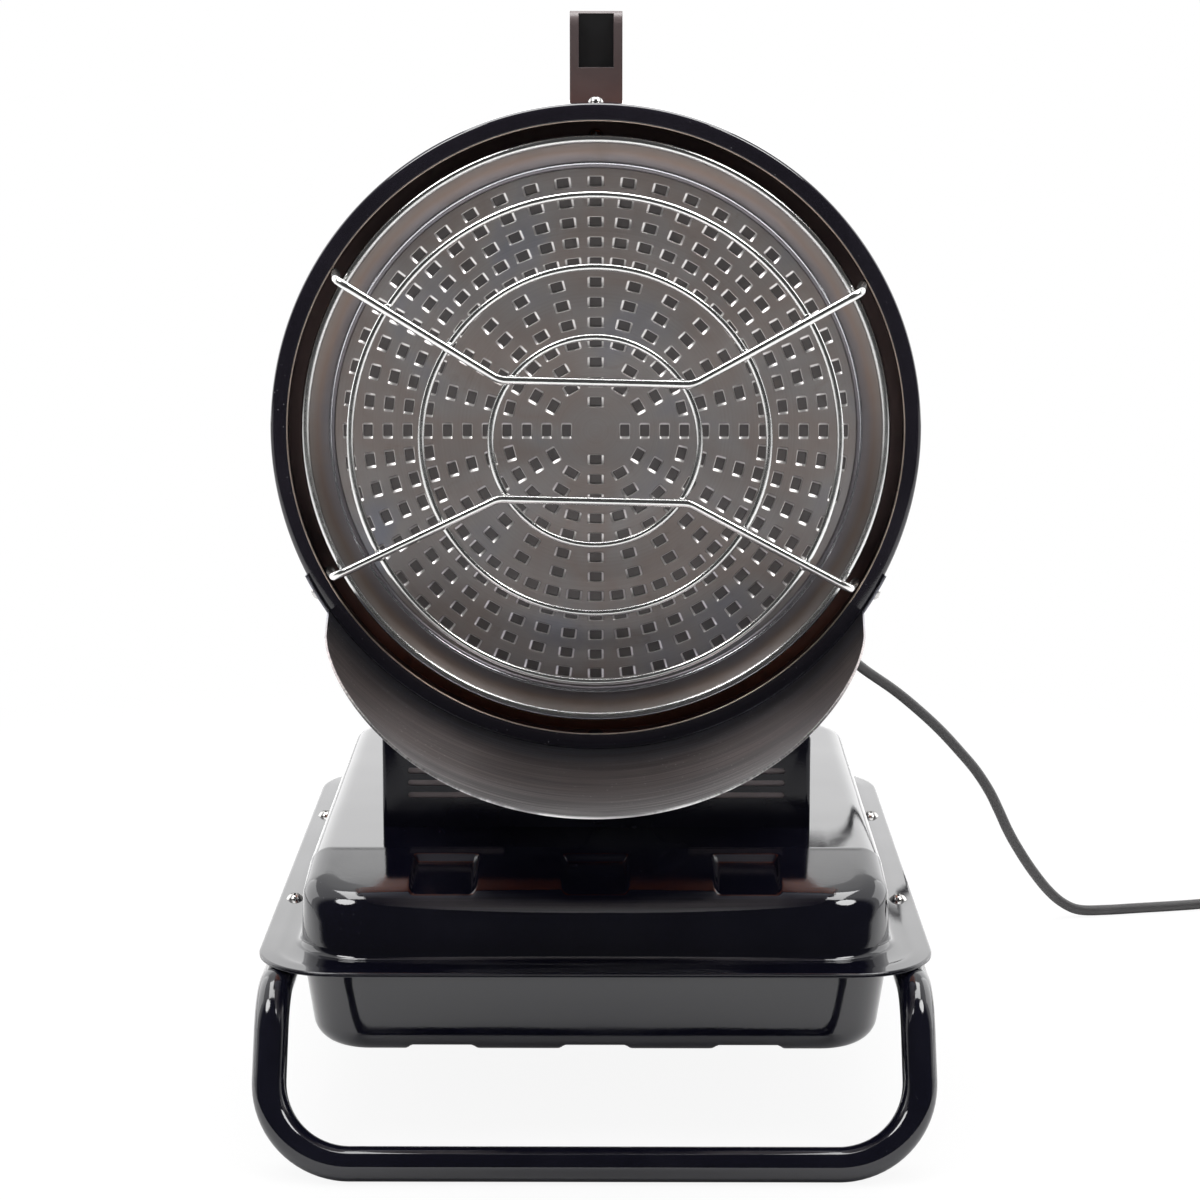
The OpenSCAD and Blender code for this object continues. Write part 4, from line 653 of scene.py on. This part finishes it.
def makePedestal():
    # the sheet is bent: the outer bends are wide, the cut edges fine
    kit = {"side": 0.134, "base": 0.153, "bend": 0.003, "fine": 0.0003, "baffleSide": 0.124, "baffleSheet": 0.0008,
           "baffleHeights": (0.168, 0.202), "front": -0.093, "gap": 0.0028}
    bm = softCopy("pedestal_housing")
    bends = [edge for edge in bm.edges if edge.calc_length() > 0.01 and edge.is_convex
             and all(abs(vert.co.x) > kit["side"] - 1e-5 for vert in edge.verts)
             and max(vert.co.z for vert in edge.verts) > kit["base"] + 0.001
             and edge.calc_face_angle(0) > 0.5]
    bmesh.ops.bevel(bm, geom=bends, offset=kit["bend"], offset_type="OFFSET", segments=4, profile=0.5,
                    affect="EDGES", clamp_overlap=False, material=-1)
    placeCopy("pedestal_housing", bm, kit["fine"])
    # a sheet behind the louvres
    sheet = bmesh.new()
    low, high = kit["baffleHeights"]
    y = kit["front"] + kit["gap"]
    bmesh.ops.create_cube(sheet, size=1, matrix=Matrix.Translation((0, y, (low + high) / 2))
                          @ Matrix.Diagonal((2 * kit["baffleSide"], kit["baffleSheet"], high - low, 1)))
    newPiece("louvreBaffle", sheet, "base", finishes["baffle"])
    print("pedestal bends:", len(bends))


def makeHandle():
    kit = {"width": 0.0315, "front": -0.100, "length": 0.108, "top": 0.2455, "low": 0.1846, "leg": 0.017,
           "grip": 0.018, "corner": 0.009, "inner": 0.006, "gapLow": 0.1972, "edge": 0.0028, "sill": 0.2122,
           "head": 0.2442, "panel": 0.021, "deep": 0.0045, "fine": 0.0005}
    long, top, low, leg = kit["length"], kit["top"], kit["low"], kit["leg"]
    r, s, gapTop = kit["corner"], kit["inner"], kit["top"] - kit["grip"]
    # side views as (distance behind the front, height above the axis)
    outer = ([(long, low)] + arc(long - r, top - r, r, 0, 90, 8) + arc(r, top - r, r, 90, 180, 8)
             + [(0, kit["sill"]), (0, low)])
    inner = (arc(long - leg - s, gapTop - s, s, 0, 90, 6) + arc(leg + s, gapTop - s, s, 90, 180, 6)
             + arc(leg + s, kit["gapLow"] + s, s, 180, 270, 6)
             + arc(long - leg - s, kit["gapLow"] + s, s, 270, 360, 6))
    bm = bmesh.new()
    across = [-kit["width"] / 2, -kit["panel"] / 2, kit["panel"] / 2, kit["width"] / 2]
    loops = [[[bm.verts.new((x, kit["front"] + u, axisHeight + v)) for u, v in outline] for x in across]
             for outline in (outer, inner)]
    panel, rims = [], []
    for outline, rings in zip((outer, inner), loops):
        count = len(outline)
        for slab, (a, b) in enumerate(zip(rings, rings[1:])):
            for i in range(count):
                j = (i + 1) % count
                face = bm.faces.new((a[i], a[j], b[j], b[i]))
                height = (outline[i][1] + outline[j][1]) / 2
                if outline is outer and slab == 1 and outline[i][0] < r and kit["sill"] < height < kit["head"]:
                    panel.append(face)
    for side in (0, -1):
        edges = []
        for rings in loops:
            ring = rings[side]
            edges += [bm.edges.get((ring[i], ring[(i + 1) % len(ring)])) for i in range(len(ring))]
        bmesh.ops.triangle_fill(bm, use_beauty=True, edges=edges)
        rims += edges
    bmesh.ops.recalc_face_normals(bm, faces=bm.faces)
    sunk = bmesh.ops.extrude_face_region(bm, geom=panel)
    bmesh.ops.delete(bm, geom=[face for face in panel if face.is_valid], context="FACES_ONLY")
    floor = [item for item in sunk["geom"] if isinstance(item, bmesh.types.BMVert)]
    for vert in floor:
        vert.co.y = kit["front"] + kit["deep"]
    bmesh.ops.bevel(bm, geom=[edge for edge in rims if edge.is_valid], offset=kit["edge"], segments=5, profile=0.5,
                    affect="EDGES", clamp_overlap=True)
    handle = newPiece("carryHandle", bm, "head", finishes["handle_plastic"], ["handle"])
    # painted shade: the floor of the recess takes the darker black plastic
    handle.data.materials.append(finishes["matte_black_plastic"])
    for face in handle.data.polygons:
        middle = face.center
        if (abs(middle.x) < kit["panel"] / 2 - 0.001 and abs(middle.y - kit["front"] - kit["deep"]) < 0.0002
                and kit["sill"] < middle.z - axisHeight < kit["head"]):
            face.material_index = 1
    roundEdges(handle, kit["fine"], 2, 60)


tankKit = {"cornerAt": (0.1345, 0.180), "corner": 0.042, "flangeAt": (0.150, 0.200), "flangeCorner": 0.050,
           "seam": 0.105, "sheet": 0.0012, "pitch": 0.091, "front": -0.222, "cornerSteps": 14}


def stations(low, high, coarse, fine, spots):
    # coarse steps from low to high, with fine ones near the spots
    marks = {round(low + (high - low) * i / round((high - low) / coarse), 6)
             for i in range(round((high - low) / coarse) + 1)}
    for spot in spots:
        marks |= {round(spot + fine * k, 6) for k in range(-4, 5) if low < spot + fine * k < high}
    ordered = sorted(marks)
    kept = [ordered[0]]
    for mark in ordered[1:]:
        if mark - kept[-1] > fine * 0.6:
            kept.append(mark)
    kept[-1] = ordered[-1]
    return kept


def outlineRing(xs, ys, at, side, front, steps):
    # (x, y, share of the front's section) round a rounded rectangle, from the front's left end
    wide, long = at
    turns = [math.radians(90 * k / steps) for k in range(1, steps)]
    ring = [(x * wide / xs[-1], -long - front, 1.0) for x in xs]
    ring += [(wide + side * math.cos(a), -long - front * math.sin(a), math.sin(a) ** 2) for a in reversed(turns)]
    ring += [(wide + side, y * long / ys[-1], 0.0) for y in ys]
    ring += [(wide + side * math.cos(a), long + side * math.sin(a), 0.0) for a in turns]
    ring += [(x * wide / xs[-1], long + side, 0.0) for x in reversed(xs)]
    ring += [(-wide - side * math.cos(a), long + side * math.sin(a), 0.0) for a in reversed(turns)]
    ring += [(-wide - side, y * long / ys[-1], 0.0) for y in reversed(ys)]
    ring += [(-wide - side * math.cos(a), -long - front * math.sin(a), math.sin(a) ** 2) for a in turns]
    return ring


def pressedTub(sideLine, frontLine, xs, ys, shape):
    # rings from the flange's edge to the middle, then a grid; shape gives each point its height
    kit = tankKit
    bm = bmesh.new()
    rings = []
    for (side, sideHigh), (front, frontHigh) in zip(sideLine, frontLine):
        if side is None:
            edge = kit["flangeCorner"] - front
            points = outlineRing(xs, ys, kit["flangeAt"], edge, edge, kit["cornerSteps"])
            rings.append([bm.verts.new((x, y, kit["seam"] + sideHigh)) for x, y, _ in points])
        else:
            points = outlineRing(xs, ys, kit["cornerAt"], kit["corner"] - side, kit["corner"] - front,
                                 kit["cornerSteps"])
            rings.append([bm.verts.new((x, y, shape(x, y, sideHigh, frontHigh, share))) for x, y, share in points])
    for a, b in zip(rings, rings[1:]):
        for i in range(len(a)):
            bm.faces.new((a[i - 1], a[i], b[i], b[i - 1]))
    last = sideLine[-1][1]
    grid = [[bm.verts.new((x, y, shape(x, y, last, frontLine[-1][1], 0.0))) for x in xs] for y in ys]
    for low, high in zip(grid, grid[1:]):
        for i in range(len(xs) - 1):
            bm.faces.new((low[i], low[i + 1], high[i + 1], high[i]))
    bmesh.ops.remove_doubles(bm, verts=bm.verts, dist=4e-6)
    return bm


def ease(value, low, high):
    t = max(0.0, min(1.0, (value - low) / (high - low)))
    return t * t * (3 - 2 * t)


def sectionLine(root, edgeArc):
    # the fillet at the flange, a straight wall and the arc at the edge
    foot, top = root[-1], edgeArc[0]
    wall = [(foot[0] + (top[0] - foot[0]) * t, foot[1] + (top[1] - foot[1]) * t) for t in (0.25, 0.5, 0.75)]
    return root + wall + edgeArc


def inwards(edgeArc, steps, high):
    # from the arc's end in to the centres of the corners, at one height
    start = edgeArc[-1][0]
    return [(start + (tankKit["corner"] - start) * k / steps, high) for k in range(1, steps + 1)]


def pressSides(half):
    # the two sides of each of the three pockets or grooves
    return [c * tankKit["pitch"] + s * half for c in (-1, 0, 1) for s in (-1, 1)]


def makeTankTop():
    kit = {"high": 0.048, "drop": 0.013, "slope": 0.080, "draft": 1.5, "edge": 0.014, "frontDraft": 12.0,
           "frontEdge": 0.020, "fillet": 0.0045, "pocket": 0.040, "pocketBack": 0.070, "step": 0.0035, "fall": 0.125,
           "rim": 0.0035, "gauge": (0.070, 0.170), "gaugeHole": 0.0125, "deck": 0.15, "brow": (-0.004, 0.006),
           "fineRows": [-0.142, -0.152, -0.1545]}
    high, slope, fillet, sheet = kit["high"], kit["slope"], kit["fillet"], tankKit["sheet"]
    fallTan = kit["drop"] / slope
    # the front's arc leans on the sloped top and on the leaning wall
    e, lean = kit["frontEdge"], math.radians(kit["frontDraft"])
    base = high - kit["drop"] - e / math.cos(math.atan(fallTan))
    u = (e + math.sin(lean) * base) / (math.cos(lean) - math.sin(lean) * fallTan)
    v = base + u * fallTan
    frontArc = arc(u, v, e, 180 - kit["frontDraft"], 90 + math.degrees(math.atan(fallTan)), 10)
    draft = math.radians(kit["draft"])
    rise = high - kit["edge"]
    sideArc = arc(rise * math.tan(draft) + kit["edge"], rise, kit["edge"], 180 - kit["draft"], 90, 10)
    # the flange as (in from its edge, height), with a faint seam line
    flange = [(0.004, 0.0), (0.0003, 0.0), (0.0, 0.0004), (0.0, sheet - 0.0004), (0.0004, sheet),
              (0.0016, sheet + 0.0001), (0.0085, sheet + 0.0001), (0.0105, sheet + 0.0003),
              (0.0125, sheet + 0.0001), (0.016, sheet)]
    root = arc(-fillet, sheet + fillet, fillet, -90, 0, 6)
    sides = [(None, h) for _, h in flange] + sectionLine(root, sideArc) + inwards(sideArc, 8, high)
    fronts = flange + sectionLine(root, frontArc) + inwards(frontArc, 8, high)
    wide, long = tankKit["cornerAt"]
    xs = stations(-wide, wide, 0.005, 0.0009, pressSides(kit["pocket"] / 2 - 0.001))
    ys = stations(-long, long, 0.008, 0.0012, kit["fineRows"])
    browStart, browEnd = kit["brow"]

    def shape(x, y, sideHigh, frontHigh, share):
        run = y - tankKit["front"]
        top = high - kit["drop"] * (1 - run / slope) * (1 - ease(run, slope + browStart, slope + browEnd))
        top = min(top, high)
        low = sheet + fillet
        side = sideHigh if sideHigh <= low else low + (sideHigh - low) * (top - low) / (high - low)
        front = frontHigh if frontHigh < high else top
        z = side * (1 - share) + front * share
        for c in (-1, 0, 1):
            off = abs(x - c * tankKit["pitch"])
            if off < kit["pocket"] / 2 + 0.001 and run < kit["pocketBack"] + 0.001:
                lip = kit["drop"] * (1 - kit["pocketBack"] / slope)
                floor = high - kit["step"] - lip - kit["fall"] * (kit["pocketBack"] - run)
                inside = 1 - ease(off, kit["pocket"] / 2 - kit["rim"], kit["pocket"] / 2 + 0.0005)
                inside *= 1 - ease(run, kit["pocketBack"] - kit["rim"], kit["pocketBack"] + 0.0005)
                z -= inside * max(0.0, z - floor)
        return tankKit["seam"] + z

    bm = pressedTub(sides, fronts, xs, ys, shape)
    gx, gy = kit["gauge"]
    near = [vert for vert in bm.verts
            if vert.co.z > kit["deck"] and math.hypot(vert.co.x - gx, vert.co.y - gy) < kit["gaugeHole"]]
    cut = {face for vert in near for face in vert.link_faces}
    bmesh.ops.delete(bm, geom=list(cut), context="FACES")
    newPiece("tankTopPressing", bm, "base", finishes["gloss_black_paint"],
             ["tank_upper_shell"], sharp=50)


def makeTankPan():
    kit = {"deep": 0.058, "draft": 8.0, "frontDraft": 3.0, "edge": 0.014, "fillet": 0.003, "groove": 0.036,
           "rise": 0.0045, "flank": 0.0045}
    sheet, fillet, deep, e = tankKit["sheet"], kit["fillet"], kit["deep"], kit["edge"]
    flange = [(0.004, 0.0), (0.0003, 0.0), (0.0, -0.0004), (0.0, 0.0004 - sheet), (0.0004, -sheet), (0.016, -sheet)]
    root = arc(-fillet, sheet + fillet, fillet, -90, 0, 4)

    def wallLine(lean):
        draft = math.radians(lean)
        edgeArc = arc((deep - e) * math.tan(draft) + e / math.cos(draft), deep - e, e, 180 - lean, 90, 10)
        return [(inset, -h) for inset, h in sectionLine(root, edgeArc) + inwards(edgeArc, 3, deep)]

    sides = [(None, h) for _, h in flange] + wallLine(kit["draft"])
    fronts = flange + wallLine(kit["frontDraft"])
    wide, long = tankKit["cornerAt"]
    xs = stations(-wide, wide, 0.006, 0.0009, pressSides((kit["groove"] + kit["flank"]) / 2))
    ys = stations(-long, long, 0.04, 0.001, [])

    def shape(x, y, sideHigh, frontHigh, share):
        z = sideHigh * (1 - share) + frontHigh * share
        for c in (-1, 0, 1):
            off = abs(x - c * tankKit["pitch"]) - kit["groove"] / 2
            lift = kit["rise"] * max(0.0, min(1.0, 1 - off / kit["flank"]))
            z = max(z, lift - deep) if lift > 0 else z
        return tankKit["seam"] + z

    bm = pressedTub(sides, fronts, xs, ys, shape)
    newPiece("tankPanPressing", bm, "base", finishes["gloss_black_paint"],
             ["tank_lower_shell"], sharp=40)


def makePanelMarks():
    # scale ticks and numbers round the thermostat knob, and ON and OFF at the switch
    kit = {"face": 0.14205, "print": 0.0002, "middle": 0.2015, "knob": 0.0, "knobRadius": 0.0195, "switch": -0.066,
           "marks": 10, "sweep": 270, "tick": 0.0005, "ticks": (0.0026, 0.0015), "digit": 0.0042, "digits": 6,
           "digitRadius": 0.0265, "word": 0.0045, "wordOut": 0.0185}
    bm = bmesh.new()
    for k in range(kit["marks"] + 1):
        turn = math.radians(kit["sweep"] * (k / kit["marks"] - 0.5))
        long = kit["ticks"][k % 2]
        out = kit["knobRadius"] + long / 2
        place = Matrix.Translation((kit["knob"] - out * math.sin(turn), kit["face"],
                                    kit["middle"] + out * math.cos(turn)))
        bmesh.ops.create_cube(bm, size=1, matrix=place @ Matrix.Rotation(-turn, 4, "Y")
                              @ Matrix.Diagonal((kit["tick"], kit["print"], long, 1)))
    newPiece("dialTicks", bm, "base", finishes["white_print"])
    places = []
    for k in range(kit["digits"]):
        turn = math.radians(kit["sweep"] * (0.5 - k / (kit["digits"] - 1)))
        places.append((str(k), kit["knob"] + kit["digitRadius"] * math.sin(turn),
                       kit["middle"] + kit["digitRadius"] * math.cos(turn), kit["digit"]))
    places += [("ON", kit["switch"], kit["middle"] + kit["wordOut"], kit["word"]),
               ("OFF", kit["switch"], kit["middle"] - kit["wordOut"], kit["word"])]
    for number, (text, x, z, size) in enumerate(places):
        curve = bpy.data.curves.new("panelWord", "FONT")
        curve.body, curve.size, curve.align_x, curve.align_y = text, size, "CENTER", "CENTER"
        curve.extrude, curve.resolution_u = kit["print"] / 2, 2
        word = bpy.data.objects.new("panelWord", curve)
        mesh = bpy.data.meshes.new_from_object(word)
        bpy.data.objects.remove(word)
        letters = bmesh.new()
        letters.from_mesh(mesh)
        bmesh.ops.remove_doubles(letters, verts=letters.verts, dist=1e-6)
        # the panel looks backwards, so the word is stood up and faces +Y
        stand = Matrix.Translation((x, kit["face"], z)) @ Matrix.Rotation(math.pi, 4, "Z") @ Matrix.Rotation(
            math.pi / 2, 4, "X")
        bmesh.ops.transform(letters, matrix=stand, verts=letters.verts)
        newPiece(f"panelWord{number}", letters, "base", finishes["white_print"])
    print("panel marks:", len(places))


def crossing(a, b, radius):
    # where the straight from a to b goes out through a ring, or None
    along = b - a
    square, twice, rest = along.dot(along), 2 * a.dot(along), a.dot(a) - radius**2
    root = twice * twice - 4 * square * rest
    t = (math.sqrt(root) - twice) / (2 * square) if root > 0 else -1
    return a + along * t if 0 <= t <= 1 else None


def makeWelds():
    # a small bead of weld where a rod crosses a ring
    kit = {"depth": -0.040, "wire": 0.00215, "rings": (0.0605, 0.1007, 0.1417), "bead": (0.0028, 0.0012, 0.0028),
           "mid": 0.0555, "end": 0.1467, "heights": ((0.035, 0.090), (-0.034, -0.082)), "roll": 1.3}
    bm = bmesh.new()
    roll = Matrix.Rotation(math.radians(-kit["roll"]), 2)
    y = faceY + kit["depth"] - kit["wire"]
    spots = []
    for mid, end in kit["heights"]:
        corners = [Vector((0, mid)), Vector((kit["mid"], mid)), Vector((kit["end"], end))]
        for side in (-1, 1):
            for a, b in zip(corners, corners[1:]):
                spots += [(side, spot) for spot in (crossing(a, b, radius) for radius in kit["rings"]) if spot]
    for side, spot in spots:
        x, z = roll @ Vector((spot.x * side, spot.y))
        bmesh.ops.create_icosphere(bm, subdivisions=2, radius=1, matrix=Matrix.Translation((x, y, axisHeight + z))
                                   @ Matrix.Diagonal((*kit["bead"], 1)))
    newPiece("guardWelds", bm, "head", finishes["bright_wire"])
    print("welds:", len(spots))


makeFrontRing()
makeReflector()
makeDisc()
makeShield()
makeHandle()
makeTankTop()
makeTankPan()
makePedestal()
makePanelMarks()
makeWelds()
for node, width in softEdges.items():
    placeCopy(node, softCopy(node), width)
print("main pieces made")


def makeStudio():
    # mirrors see a dark room in front and white walls behind, and the plain light is even
    kit = {"front": 0.05, "back": 0.95, "turn": (-0.12, 0.14), "sweep": (-0.75, -0.50), "low": (0.03, 0.09),
           "diffuse": 0.5, "floor": 1.8, "fade": (0.5, 1.1), "keep": 0.09}
    world = bpy.data.worlds.new("studioWorld")
    world.use_nodes = True
    scene.world = world
    sky = Tree(world.node_tree)
    direction = sky.node("ShaderNodeTexCoord", {}, {}, "Generated")
    x, y, z = sky.split(direction)
    low = y.ease(*kit["sweep"]) * (0 - z).ease(*kit["low"])
    walls = kit["front"] + (kit["back"] - kit["front"]) * low.maths("MAXIMUM", low, y.ease(*kit["turn"]))
    glossy = sky.seen("Glossy")
    shown = sky.seen("Camera", "Transmission")
    light = glossy * walls + (1 - glossy) * kit["diffuse"]
    sky.feed(sky.tree.nodes["Background"].inputs["Strength"], shown + (1 - shown) * light)
    sky.tree.nodes["Background"].inputs["Color"].default_value = (1, 1, 1, 1)

    mesh = bpy.data.meshes.new("studioFloor")
    bm = bmesh.new()
    bmesh.ops.create_circle(bm, cap_ends=True, segments=96, radius=kit["floor"])
    bm.to_mesh(mesh)
    bm.free()
    floor = bpy.data.objects.new("studioFloor", mesh)
    scene.collection.objects.link(floor)
    f = Finish("floorWhite")
    f.set(base=(0.86, 0.86, 0.86), rough=0.6)
    x, y, z = f.split(f.place)
    near = 1 - ((x * x + y * y) ** 0.5).ease(*kit["fade"])
    share = f.seen("Camera", "Transmission") * (1 - kit["keep"] * near)
    mixed = f.node("ShaderNodeMixShader", {}, {0: share, 1: Signal(f, f.shader.outputs[0]),
                                               2: f.node("ShaderNodeEmission", {}, {})})
    f.feed(f.tree.nodes["Material Output"].inputs["Surface"], mixed)
    mesh.materials.append(f.material)

    lamps = [
        ("topPanel", (0, 0.4, 2.4), (0, 0.1, 0), 2.0, 1.4, 52),
        ("leftHigh", (-1.15, -0.65, 2.2), (0, -0.15, 0.3), 0.8, 0.8, 16),
        ("rightHigh", (1.15, -0.65, 2.2), (0, -0.15, 0.3), 0.8, 0.8, 16),
        ("leftPanel", (-2.2, 1.3, 1.1), (0, 0.1, 0.35), 2.0, 2.0, 20),
        ("rightPanel", (2.2, 1.3, 1.1), (0, 0.1, 0.35), 2.0, 2.0, 20),
        ("backPanel", (0, 3.2, 1.2), (0, 0, 0.9), 5.0, 2.4, 36),
    ]
    for name, place, target, width, height, power in lamps:
        data = bpy.data.lights.new(name, "AREA")
        data.shape = "ELLIPSE" if "High" in name else "RECTANGLE"
        data.size, data.size_y, data.energy = width, height, power
        lamp = bpy.data.objects.new(name, data)
        lamp.location = place
        lamp.rotation_euler = (Vector(target) - Vector(place)).to_track_quat("-Z", "Y").to_euler()
        scene.collection.objects.link(lamp)


makeStudio()
print("studio lit")
